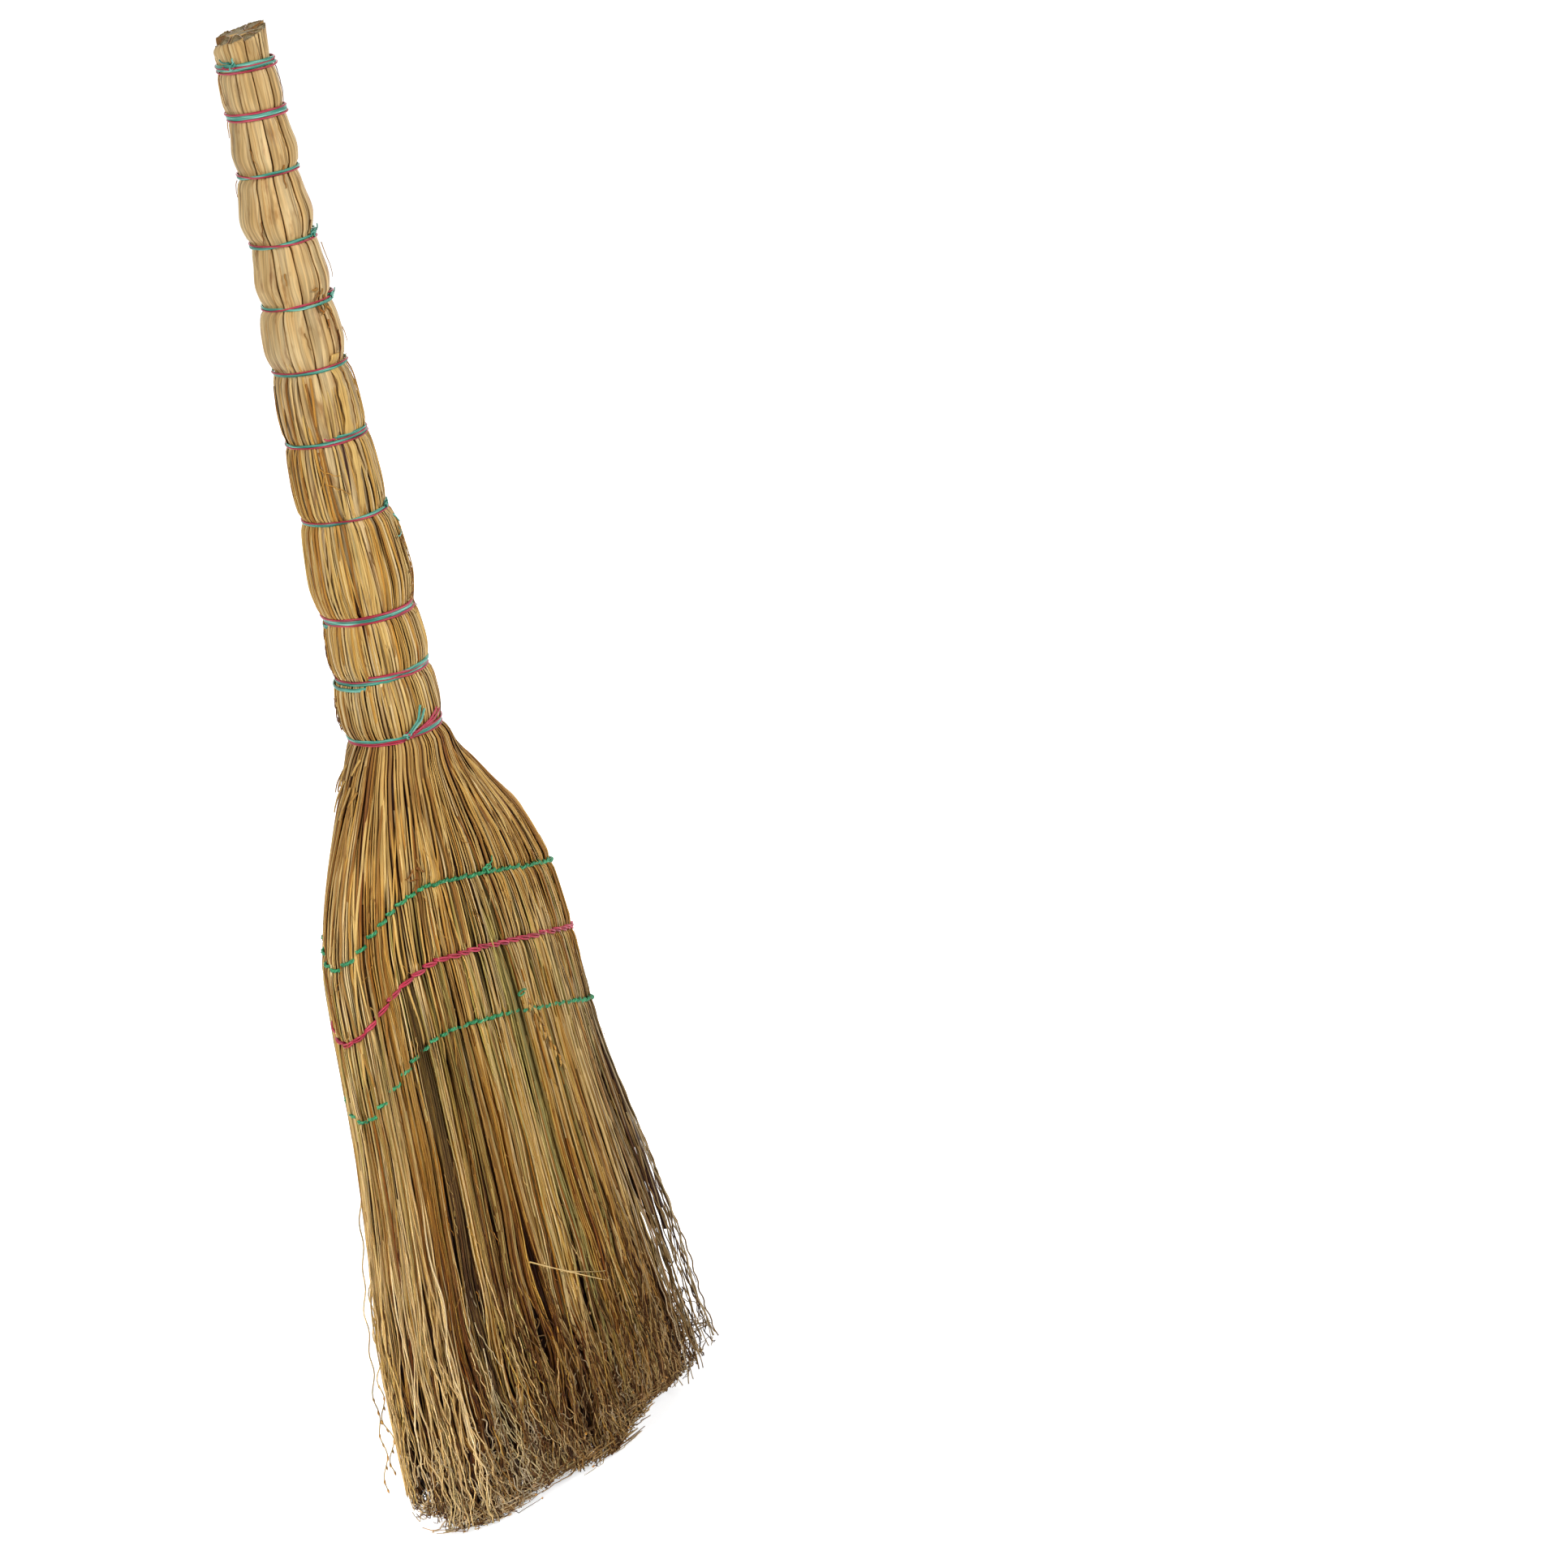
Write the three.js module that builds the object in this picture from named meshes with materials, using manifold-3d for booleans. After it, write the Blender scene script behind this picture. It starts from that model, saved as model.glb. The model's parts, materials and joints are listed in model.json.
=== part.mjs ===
// Straw broom: a round handle of bundled stalks that is bound with twine, and a flat, stitched head
// whose fibres fan out into a brush. Sizes are in millimetres. +Z runs up the handle, +X across the
// head and +Y through its thickness. The origin is on the floor, under the middle of the brush.

import * as THREE from 'three';
import Module from 'manifold-3d';

const wasm = await Module();
wasm.setup();

// Overall sizes
const broomLength = 850;
const neckHeight = 454;
const handleOffset = -15;
const brushHalfWidth = 136;
const brushHalfDepth = 48;

// Radius of the bundled straw under the first band, and under the last one at the neck
const topRadius = 14.9;
const neckRadius = 25.5;
const topFlare = 1.3;

// Clearance that touching pieces keep, and the gap between two stalks or two bunches
const seatGap = 0.3;
const strawGap = 0.45;

// Bands of twine, from the top cut down to the neck. The heights are shares of the handle above the
// neck, and the radii are shares of the way from the top radius to the neck radius.
const bandHeightShares = [0.963, 0.896, 0.814, 0.72, 0.631, 0.539, 0.437, 0.325, 0.177, 0.089, 0];
const bandRadiusShares = [0, 0.066, 0.127, 0.202, 0.333, 0.437, 0.624, 0.746, 0.737, 1.03, 1];
const greenTurns = [1.5, 2, 1, 1, 1, 1, 1.5, 1, 2, 2, 1];
const redTurns = [1.5, 1.5, 1, 1, 1, 1, 1, 1, 2, 1, 1.5];
const turnOverlapShare = 0.12;

// Twine
const twineRadius = 0.6;
const twineGap = 0.45;
const twineSides = 4;
const stepsPerTurn = 14;
const grooveMargin = 0.8;

// Swelling of the straw between two bands, from the top interval to the last one
const swell = 2.2;
const swellShares = [0.7, 0.8, 1, 0.9, 1, 0.7, 0.6, 0.8, 1, 0.7];
const swellPlaceShares = [0.28, 0.72];

// Stalks of the handle
const stalkCount = 9;
const coreRadiusShare = 0.36;
const coreArcSteps = 4;
const stalkEdgeShare = 0.93;
const stalkCrestShare = 0.45;
const stalkCutShares = [0.25, 0, 0.6, 0.1, 0, 0.9, 0.4, 0, 1];
const cutUnevenness = 5;
const stalkEndShare = 0.95;

// Layer of thinner straw that is laid over the stalks from the fifth band down
const bunchCount = 10;
const openBandCount = 4;
const layerTopThickness = 2.4;
const layerNeckThickness = 7.5;
const grooveShare = 0.965;
const bunchEndShare = 0.529;
const bunchTipShare = 0.07;
const funnelDepth = 6;

// Outline of the head from the neck to the floor: the height is a share of the neck height, the half
// width and half depth are shares of the brush, and the middle is a share of the handle offset.
const headHeightShares = [0.958, 0.903, 0.837, 0.793, 0.749, 0.661, 0.595, 0.529, 0.264, 0];
const headWidthShares = [0.29, 0.423, 0.578, 0.648, 0.697, 0.728, 0.743, 0.757, 0.9, 1];
const headDepthShares = [0.6, 0.648, 0.7, 0.735, 0.77, 0.8, 0.817, 0.833, 0.906, 1];
const headMiddleShares = [1.15, 1.1, 0.93, 0.91, 0.89, 0.82, 0.8, 0.78, 0.5, 0];

// Brush strands below the last row of stitches
const brushNames = ['brush_left', 'brush_centre_left', 'brush_centre_right', 'brush_right'];
const brushEdgeShares = [-1, -0.52, 0, 0.52, 1];
const strandColumnCounts = [7, 8, 8, 7];
const strandRowCount = 12;
const fewestStrandRowCount = 3;
const backingDepth = 12;
const backingSteps = 5;
const strandRootShare = 0.25;
const strandRootWidth = 2.7;
const strandTipWidth = 2.5;
const strandStaggerShare = 0.3;
const strandSides = 3;
const strandInset = 3.2;
const tipUnevenness = 11;
const goldenShare = 0.618;

// Rows of stitches round the head: each arches up over its middle, and the lower rows drop further at both ends
const stitchRows = [
  { name: 'stitch_row_1_green', heightShare: 0.822, dropShare: 1.07, colour: 'green' },
  { name: 'stitch_row_2_red', heightShare: 0.729, dropShare: 1.12, colour: 'red' },
  { name: 'stitch_row_3_green', heightShare: 0.639, dropShare: 1.32, colour: 'green' }
];
const stitchRightDrop = 34;
const stitchLeftDrop = 28;
const stitchPeakShare = -0.48;
const stitchRightPower = 1.4;
const stitchLeftPower = 2.4;
const stitchRadius = 0.8;
const stitchSteps = 36;
const stitchStartShare = 0.02;
const stitchOverlapShare = 0.03;
const stitchMargin = 0.25;

// Finishes
const finishes = {
  stalk: new THREE.MeshStandardMaterial({ color: 0xd9bf8f, roughness: 0.62, metalness: 0 }),
  pith: new THREE.MeshStandardMaterial({ color: 0x9c8a70, roughness: 0.85, metalness: 0 }),
  straw: new THREE.MeshStandardMaterial({ color: 0xc49a5a, roughness: 0.7, metalness: 0 }),
  fibre: new THREE.MeshStandardMaterial({ color: 0xb08a4e, roughness: 0.8, metalness: 0 }),
  green: new THREE.MeshStandardMaterial({ color: 0x3faf8a, roughness: 0.3, metalness: 0 }),
  red: new THREE.MeshStandardMaterial({ color: 0xc8375a, roughness: 0.3, metalness: 0 })
};

// Derived sizes
const handleLength = broomLength - neckHeight;
const twineSpacing = twineRadius + twineRadius + twineGap;
const turnRise = twineSpacing + twineSpacing;
const stitchRise = stitchRadius + stitchRadius + twineSpacing;
const halfStrawGap = strawGap / 2;
const fullTurn = Math.PI * 2;

// A value read off a falling table of heights, on straight lines between its rows
function readTable(rows, height, key) {
  const below = rows.findIndex((row) => row.height <= height);
  if (below === 0) return rows[0][key];
  if (below < 0) return rows[rows.length - 1][key];
  const high = rows[below - 1];
  const low = rows[below];
  const share = (high.height - height) / (high.height - low.height);
  return high[key] + (low[key] - high[key]) * share;
}

// Each band: its height, the radius of the straw under it, and half the height of its groove
const bands = bandHeightShares.map((heightShare, index) => {
  const turns = Math.max(greenTurns[index], redTurns[index]);
  return {
    height: neckHeight + handleLength * heightShare,
    radius: topRadius + (neckRadius - topRadius) * bandRadiusShares[index],
    green: greenTurns[index] + turnOverlapShare,
    red: redTurns[index] + turnOverlapShare,
    groove: ((turns + turnOverlapShare) * turnRise) / 2 + twineRadius + grooveMargin
  };
});

// Outline of the whole broom as a falling table of rings, and the height at which each ring lies
function makeOutline() {
  const top = { height: broomLength, half: topRadius + topFlare };
  const rings = [top];
  bands.forEach((band, index) => {
    rings.push({ height: band.height + band.groove, half: band.radius });
    const next = bands[index + 1];
    rings.push({ height: band.height - band.groove, half: band.radius });
    if (!next) return;
    const high = band.height - band.groove;
    const low = next.height + next.groove;
    swellPlaceShares.forEach((place) => {
      const straight = band.radius + (next.radius - band.radius) * place;
      rings.push({ height: high + (low - high) * place, half: straight + swell * swellShares[index] });
    });
  });
  const handle = rings.map(({ height, half }) => ({
    height,
    width: half,
    depth: half,
    middle: handleOffset
  }));
  const head = headHeightShares.map((heightShare, index) => ({
    height: neckHeight * heightShare,
    width: brushHalfWidth * headWidthShares[index],
    depth: brushHalfDepth * headDepthShares[index],
    middle: handleOffset * headMiddleShares[index]
  }));
  return [...handle, ...head];
}

const outline = makeOutline();

// Surface of the stalks below the point where the straw layer covers them
const bunchTop = bands[openBandCount].height;
const bunchBottom = neckHeight * bunchEndShare;
const stalkBottom = neckHeight * stalkEndShare;
const funnelTop = stalkBottom - seatGap;
const funnelEnd = funnelTop - funnelDepth;
const coveredStalks = [
  { height: bunchTop, half: bands[openBandCount].radius - layerTopThickness },
  { height: neckHeight, half: neckRadius - layerNeckThickness },
  { height: stalkBottom, half: neckRadius - layerNeckThickness }
];

// One point of a section: an ellipse about the middle, moved sideways by a small distance
function sectionPoint({ width, depth, middle, height }, angle, scale = 1, side = 0) {
  const x = width * Math.cos(angle) * scale;
  const y = depth * Math.sin(angle) * scale;
  const reach = Math.hypot(x, y);
  return new THREE.Vector3(middle + x - (side * y) / reach, y + (side * x) / reach, height);
}

// Closed body through rings of equal size, each anticlockwise from above, from the top ring down.
// A flipped edge has its diagonals the other way, so that two twisted neighbours stay apart.
function loft(rings, flippedEdge = -1) {
  const count = rings[0].length;
  const positions = rings.flat().flatMap((point) => point.toArray());
  const indices = [];
  for (let ring = 0; ring < rings.length - 1; ring += 1) {
    for (let edge = 0; edge < count; edge += 1) {
      const next = (edge + 1) % count;
      const high = ring * count;
      const low = high + count;
      if (edge === flippedEdge) {
        indices.push(high + edge, low + edge, high + next, high + next, low + edge, low + next);
      } else {
        indices.push(high + edge, low + edge, low + next, high + edge, low + next, high + next);
      }
    }
  }
  const last = (rings.length - 1) * count;
  const flat = (ring) => ring.map((point) => new THREE.Vector2(point.x, point.y));
  THREE.ShapeUtils.triangulateShape(flat(rings[0]), []).forEach(([a, b, c]) => indices.push(a, b, c));
  THREE.ShapeUtils.triangulateShape(flat(rings[rings.length - 1]), [])
    .forEach(([a, b, c]) => indices.push(last + a, last + c, last + b));
  const geometry = new THREE.BufferGeometry();
  geometry.setAttribute('position', new THREE.Float32BufferAttribute(positions, 3));
  geometry.setIndex(indices);
  return geometry;
}

// Tube of few sides along a path, with a flat end at each end of it
function tube(path, radius, outward) {
  const positions = [];
  const indices = [];
  path.forEach((point, index) => {
    const before = path[Math.max(index - 1, 0)];
    const after = path[Math.min(index + 1, path.length - 1)];
    const along = after.clone().sub(before).normalize();
    const out = outward(point).projectOnPlane(along).normalize();
    const up = along.clone().cross(out);
    for (let side = 0; side < twineSides; side += 1) {
      const turn = (side / twineSides) * fullTurn;
      const corner = point.clone()
        .addScaledVector(out, Math.cos(turn) * radius)
        .addScaledVector(up, Math.sin(turn) * radius);
      positions.push(...corner.toArray());
    }
  });
  for (let step = 0; step < path.length - 1; step += 1) {
    for (let side = 0; side < twineSides; side += 1) {
      const a = step * twineSides + side;
      const b = step * twineSides + ((side + 1) % twineSides);
      indices.push(a, b, b + twineSides, a, b + twineSides, a + twineSides);
    }
  }
  const last = (path.length - 1) * twineSides;
  for (let side = 1; side < twineSides - 1; side += 1) {
    indices.push(0, side + 1, side, last, last + side, last + side + 1);
  }
  const geometry = new THREE.BufferGeometry();
  geometry.setAttribute('position', new THREE.Float32BufferAttribute(positions, 3));
  geometry.setIndex(indices);
  return geometry;
}

function toSolid(geometry) {
  const vertProperties = Float32Array.from(geometry.attributes.position.array);
  const triVerts = Uint32Array.from(geometry.index.array);
  return new wasm.Manifold(new wasm.Mesh({ numProp: 3, vertProperties, triVerts }));
}

function toGeometry(solid) {
  const { vertProperties, triVerts } = solid.getMesh();
  const geometry = new THREE.BufferGeometry();
  geometry.setAttribute('position', new THREE.Float32BufferAttribute(vertProperties, 3));
  geometry.setIndex(Array.from(triVerts));
  return geometry;
}

const broom = new THREE.Group();

function place(name, geometry, finish) {
  geometry.computeVertexNormals();
  const mesh = new THREE.Mesh(geometry, finishes[finish]);
  mesh.name = name;
  broom.add(mesh);
}

const numbered = (word, index) => `${word}_${String(index + 1).padStart(2, '0')}`;

// The outline at one height
function levelAt(height) {
  const read = (key) => readTable(outline, height, key);
  return { height, width: read('width'), depth: read('depth'), middle: read('middle') };
}

// Levels of a stalk, from its cut end through the open part of the handle to its covered end
function stalkLevels(cut) {
  const open = outline.filter(({ height }) => height > bunchTop + seatGap && height < cut);
  const covered = coveredStalks.map(({ height, half }) => ({
    height,
    width: half,
    depth: half,
    middle: handleOffset
  }));
  return [levelAt(cut), ...open, levelAt(bunchTop + seatGap), ...covered];
}

// Handle stalk: a squeezed wedge beside the core, pinched under each band and cut flat at the top
function makeStalk(index) {
  const halfAngle = Math.PI / stalkCount;
  const centre = (fullTurn / stalkCount) * index;
  const crest = halfAngle * stalkCrestShare;
  const cut = broomLength - cutUnevenness * stalkCutShares[index];
  const rings = stalkLevels(cut).map((level) => {
    const inner = coreRadiusShare / Math.cos(halfAngle);
    const innerScale = inner + (seatGap + halfStrawGap) / level.width;
    return [
      sectionPoint(level, centre - halfAngle, innerScale, halfStrawGap),
      sectionPoint(level, centre - halfAngle, stalkEdgeShare, halfStrawGap),
      sectionPoint(level, centre - crest),
      sectionPoint(level, centre + crest),
      sectionPoint(level, centre + halfAngle, stalkEdgeShare, -halfStrawGap),
      sectionPoint(level, centre + halfAngle, innerScale, -halfStrawGap)
    ];
  });
  place(numbered('stalk', index), loft(rings), 'stalk');
}

// The two half-round stalks in the middle of the handle
function makeCoreStalk(index) {
  const facing = index * Math.PI;
  const sides = Array.from({ length: coreArcSteps + 1 }, () => 0);
  sides[0] = halfStrawGap;
  sides[coreArcSteps] = -halfStrawGap;
  const rings = stalkLevels(broomLength).map((level) => sides.map((side, step) => {
    const angle = facing + (step / coreArcSteps) * Math.PI;
    return sectionPoint(level, angle, coreRadiusShare, side);
  }));
  place(numbered('core_stalk', index), loft(rings), 'pith');
}

// Levels of a straw bunch, from the band that holds its top end down to the last row of stitches
function bunchLevels() {
  const start = bunchTop - seatGap;
  const between = outline.filter(({ height }) => height < start && height > bunchBottom);
  const ends = [start, funnelTop, funnelEnd, bunchBottom].map(levelAt);
  return [...between, ...ends].sort((a, b) => b.height - a.height);
}

// Inner wall of the bunches: round the stalks, and below their ends a slender space down the middle
function bunchInside(level) {
  if (level.height < funnelTop) {
    return { ...level, width: level.width * bunchTipShare, depth: level.depth * bunchTipShare };
  }
  const clear = (readTable(coveredStalks, level.height, 'half') + seatGap) / Math.cos(Math.PI / bunchCount);
  return { ...level, width: clear + halfStrawGap, depth: clear + halfStrawGap, middle: handleOffset };
}

// Straw bunch: laid over the stalks from the fifth band, bound at the neck and fanned into the head
function makeBunch(index) {
  const halfAngle = Math.PI / bunchCount;
  const centre = (fullTurn / bunchCount) * index + halfAngle;
  const lobe = halfAngle / 2;
  const rings = bunchLevels().map((level) => {
    const inside = bunchInside(level);
    return [
      sectionPoint(inside, centre - halfAngle, 1, halfStrawGap),
      sectionPoint(level, centre - halfAngle, grooveShare, halfStrawGap),
      sectionPoint(level, centre - lobe),
      sectionPoint(level, centre, grooveShare),
      sectionPoint(level, centre + lobe),
      sectionPoint(level, centre + halfAngle, grooveShare, -halfStrawGap),
      sectionPoint(inside, centre + halfAngle, 1, -halfStrawGap)
    ];
  });
  const farSideEdge = rings[0].length - 2;
  place(numbered('straw_bunch', index), loft(rings, farSideEdge), 'straw');
}

// Place in the brush at a height, for a share of its half width and a share of its local half depth
function brushPoint(height, across, through, inset = 0) {
  const width = readTable(outline, height, 'width');
  const depth = readTable(outline, height, 'depth');
  const middle = readTable(outline, height, 'middle');
  const bow = Math.sqrt(Math.max(1 - across * across, 0));
  return new THREE.Vector3(middle + width * across, (depth * bow - inset) * through, height);
}

// Slice of packed straw that the strands of one brush piece grow from
function makeBacking(leftShare, rightShare, top, bottom) {
  const ring = (height) => {
    const width = readTable(outline, height, 'width');
    const left = leftShare > -1 ? leftShare + halfStrawGap / width : leftShare;
    const right = rightShare < 1 ? rightShare - halfStrawGap / width : rightShare;
    const points = [];
    for (let step = 0; step <= backingSteps; step += 1) {
      const across = left + (right - left) * (step / backingSteps);
      points.push(brushPoint(height, across, -1));
    }
    for (let step = backingSteps; step >= 0; step -= 1) {
      const across = left + (right - left) * (step / backingSteps);
      if (Math.abs(across) < 1) points.push(brushPoint(height, across, 1));
    }
    return points;
  };
  return loft([ring(top), ring(bottom)]);
}

// One strand: a slim three-sided straw that tapers to a tip cut level with the floor or above it
function makeStrand(across, through, root, number) {
  const lift = ((number * goldenShare) % 1) * tipUnevenness;
  const tip = number % 2 === 0 ? 0 : lift;
  const ring = (height, width) => {
    const centre = brushPoint(height, across, through, strandInset);
    const points = [];
    for (let side = 0; side < strandSides; side += 1) {
      const turn = ((side + number / 2) / strandSides) * fullTurn;
      points.push(new THREE.Vector3(
        centre.x + Math.cos(turn) * width,
        centre.y + Math.sin(turn) * width,
        height
      ));
    }
    return points;
  };
  return loft([ring(root, strandRootWidth), ring(tip, strandTipWidth)]);
}

function makeBrush(index) {
  const top = bunchBottom - seatGap;
  const bottom = top - backingDepth;
  const root = bottom + backingDepth * strandRootShare;
  const leftShare = brushEdgeShares[index];
  const rightShare = brushEdgeShares[index + 1];
  const width = readTable(outline, bottom, 'width');
  const outerMargin = (strandInset + strandInset) / width;
  const innerMargin = (strandRootWidth + strawGap) / width;
  const margin = (share) => (Math.abs(share) === 1 ? outerMargin : innerMargin);
  const left = leftShare + margin(leftShare);
  const right = rightShare - margin(rightShare);
  const solids = [toSolid(makeBacking(leftShare, rightShare, top, bottom))];
  const columns = strandColumnCounts[index];
  for (let column = 0; column < columns; column += 1) {
    const step = (right - left) / (columns - 1 + strandStaggerShare);
    const bow = Math.sqrt(1 - (left + column * step) ** 2);
    const rows = Math.max(Math.round(strandRowCount * bow), fewestStrandRowCount) + (column % 2);
    for (let row = 0; row < rows; row += 1) {
      const across = left + (column + (row % 2) * strandStaggerShare) * step;
      const through = (row / (rows - 1)) * 2 - 1;
      solids.push(toSolid(makeStrand(across, through, root, solids.length)));
    }
  }
  const strandTotal = solids.length - 1;
  place(brushNames[index], toGeometry(wasm.Manifold.union(solids)), 'fibre');
  return strandTotal;
}

// Least distance between stretches of one twine that lie at least half a turn apart along it
function leastGap(path, radius, apart) {
  let least = Infinity;
  for (let first = 0; first < path.length; first += 1) {
    for (let second = first + apart; second < path.length; second += 1) {
      least = Math.min(least, path[first].distanceTo(path[second]) - radius - radius);
    }
  }
  return least;
}

// A path with a straight end of one twine diameter before its start and after its end
function withStraightEnds(path, radius) {
  const extend = (end, inner) => {
    const along = end.clone().sub(inner).normalize();
    return end.clone().addScaledVector(along, radius + radius);
  };
  return [extend(path[0], path[1]), ...path, extend(path[path.length - 1], path[path.length - 2])];
}

// Band of one colour: an open coil round the handle that lies between the turns of the other colour
function makeBand(index, colour, offset) {
  const band = bands[index];
  const turns = band[colour];
  const mostTurns = Math.max(band.green, band.red);
  const reach = (band.radius + seatGap + twineRadius) / Math.cos(Math.PI / stepsPerTurn);
  const steps = Math.round(turns * stepsPerTurn);
  const start = band.height + (mostTurns * turnRise) / 2 + offset;
  const path = [];
  for (let step = 0; step <= steps; step += 1) {
    const turned = step / stepsPerTurn;
    const angle = Math.PI + turned * fullTurn;
    path.push(new THREE.Vector3(
      handleOffset + reach * Math.cos(angle),
      reach * Math.sin(angle),
      start - turned * turnRise
    ));
  }
  const whole = withStraightEnds(path, twineRadius);
  const outward = (point) => new THREE.Vector3(point.x - handleOffset, point.y, 0);
  place(`${numbered('band', index)}_${colour}_twine`, tube(whole, twineRadius, outward), colour);
  return leastGap(whole, twineRadius, stepsPerTurn / 2);
}

// Height of a row of stitches at a place across the head
function stitchHeight(row, across) {
  const right = Math.max(across - stitchPeakShare, 0) / (1 - stitchPeakShare);
  const left = Math.max(stitchPeakShare - across, 0) / (1 + stitchPeakShare);
  const drop = stitchRightDrop * right ** stitchRightPower + stitchLeftDrop * left ** stitchLeftPower;
  return neckHeight * row.heightShare - drop * row.dropShare;
}

// Row of stitches: one open loop of twine laid round the head on its arched line
function makeStitchRow(row) {
  const offset = seatGap + stitchRadius + stitchMargin;
  const path = [];
  for (let step = 0; step <= stitchSteps; step += 1) {
    const turned = stitchStartShare + (step / stitchSteps) * (1 + stitchOverlapShare);
    const angle = turned * fullTurn;
    const across = Math.cos(angle);
    const height = stitchHeight(row, across) - (step / stitchSteps) * stitchRise;
    const { width, depth, middle } = levelAt(height);
    path.push(new THREE.Vector3(
      middle + (width + offset) * across,
      (depth + offset) * Math.sin(angle),
      height
    ));
  }
  const whole = withStraightEnds(path, stitchRadius);
  const outward = (point) => {
    const { width, depth, middle } = levelAt(point.z);
    return new THREE.Vector3((point.x - middle) / (width * width), point.y / (depth * depth), 0);
  };
  place(row.name, tube(whole, stitchRadius, outward), row.colour);
  return leastGap(whole, stitchRadius, stitchSteps / 2);
}

for (let index = 0; index < stalkCount; index += 1) makeStalk(index);
makeCoreStalk(0);
makeCoreStalk(1);
for (let index = 0; index < bunchCount; index += 1) makeBunch(index);

let strandTotal = 0;
brushNames.forEach((name, index) => {
  strandTotal += makeBrush(index);
});

const twineGaps = [];
bands.forEach((band, index) => {
  twineGaps.push(makeBand(index, 'green', twineSpacing / 2));
  twineGaps.push(makeBand(index, 'red', -twineSpacing / 2));
});
stitchRows.forEach((row) => twineGaps.push(makeStitchRow(row)));

console.log(`strands: ${strandTotal}`);
console.log(`least gap of a twine to itself: ${Math.min(...twineGaps).toFixed(2)} mm`);

export default broom;
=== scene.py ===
# %% [markdown]
# # A straw broom, strand by strand
# The real broom is nothing but plant stalks, straws and fibres, bound with plastic twine. So the model is made the
# same way: each straw, fibre and twine is its own closed strand, laid on one outline of the broom. A hair system or a
# displaced tube would be quicker, but neither gives the seams, gaps and loose ends that make a broom look like one.
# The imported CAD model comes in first, as the fixed frame that every strand is laid around.

# %% The frame and the tools
import json
import math

import bpy
import numpy as np
from mathutils import Matrix, Vector


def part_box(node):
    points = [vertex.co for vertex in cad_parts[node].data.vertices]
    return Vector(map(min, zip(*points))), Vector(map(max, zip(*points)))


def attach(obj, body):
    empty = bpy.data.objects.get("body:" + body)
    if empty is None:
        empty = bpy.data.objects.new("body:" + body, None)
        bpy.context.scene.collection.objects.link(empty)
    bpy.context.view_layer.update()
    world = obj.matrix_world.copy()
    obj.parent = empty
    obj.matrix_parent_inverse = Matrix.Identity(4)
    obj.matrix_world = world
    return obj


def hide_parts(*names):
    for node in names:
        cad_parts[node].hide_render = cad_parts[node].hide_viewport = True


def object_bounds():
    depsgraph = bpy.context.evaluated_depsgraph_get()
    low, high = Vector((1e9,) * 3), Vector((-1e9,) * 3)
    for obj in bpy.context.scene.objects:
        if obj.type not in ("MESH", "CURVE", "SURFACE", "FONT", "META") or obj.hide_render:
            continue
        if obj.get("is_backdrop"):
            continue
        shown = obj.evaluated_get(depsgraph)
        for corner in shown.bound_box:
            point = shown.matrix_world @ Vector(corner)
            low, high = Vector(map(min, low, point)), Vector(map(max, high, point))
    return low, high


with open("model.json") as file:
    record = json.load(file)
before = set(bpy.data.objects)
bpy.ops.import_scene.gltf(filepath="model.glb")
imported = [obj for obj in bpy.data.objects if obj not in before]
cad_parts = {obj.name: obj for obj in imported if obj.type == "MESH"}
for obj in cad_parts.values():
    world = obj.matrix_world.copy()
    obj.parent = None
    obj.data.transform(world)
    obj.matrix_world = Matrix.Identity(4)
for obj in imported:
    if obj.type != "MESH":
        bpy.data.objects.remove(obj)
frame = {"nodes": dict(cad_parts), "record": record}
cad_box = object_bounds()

slots = [row["slot"] for row in frame["record"]["materials"]]
print("nodes in the frame:", len(frame["nodes"]), "slots:", slots)

# %% [markdown]
# ## Sizes
# Everything below is in millimetres and turns to metres only when a mesh is made. The broom stands on its tips, wide
# from left to right and shallow from front to back. The handle stands a little left of the middle, because the brush
# has spread to the right with use. Eleven bands of twine hold the handle, and three rows of stitches the head.

# %% Sizes of the broom
mm = 0.001
broom_length = 850.0
neck = 454.0
handle_length = broom_length - neck
band_heights = neck + handle_length * np.array([0.963, 0.896, 0.814, 0.72, 0.631, 0.539, 0.437, 0.325, 0.177, 0.089, 0])
band_radii = np.array([15.2, 15.7, 16.6, 17.6, 19.2, 20.3, 22.2, 23.7, 24.9, 25.8, 26.3])
band_shift = np.array([0, 0, -1.2, -2.2, -1.4, -2.6, -2.3, -1.4, 0, 0, 0])
bulges = [(1.8, 1.9, 0.0), (1.4, 2.8, 0.0), (2.4, 3.8, -2.2), (1.8, 3.0, -0.8), (3.2, 3.6, -2.4),
          (1.8, 1.7, -2.4), (1.8, 1.8, -2.0), (3.4, 4.2, -0.6), (2.2, 2.6, 0.6), (3.0, 3.2, -0.5)]
head_heights = neck * np.array([0.958, 0.903, 0.837, 0.793, 0.749, 0.661, 0.595, 0.529, 0.264, 0])
head_widths = 136 * np.array([0.29, 0.423, 0.578, 0.648, 0.697, 0.728, 0.743, 0.757, 0.9, 0.985])
head_depths = 48 * np.array([0.6, 0.648, 0.7, 0.735, 0.77, 0.8, 0.817, 0.833, 0.906, 0.97])
head_middles = -15 * np.array([1.15, 1.1, 0.93, 0.91, 0.89, 0.82, 0.8, 0.78, 0.5, 0])
handle_middle = -16.2
print("bands at", np.round(band_heights), "with radii", np.round(band_radii, 1))

# %% [markdown]
# ## The outline
# One outline carries every strand. At each height it is an ellipse, with a middle, a half width and a half depth. A
# strand's place is three numbers: its share of the way round the ellipse, its height, and how deep it lies under the
# surface. A share is measured along the edge and not by angle, or the straws would crowd at the narrow ends.
# Straight lines between the measured heights would leave kinks, so the curve through them is smooth and never
# overshoots. Between two bands the stalks belly out, and a band bites a narrow waist into them.

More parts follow.
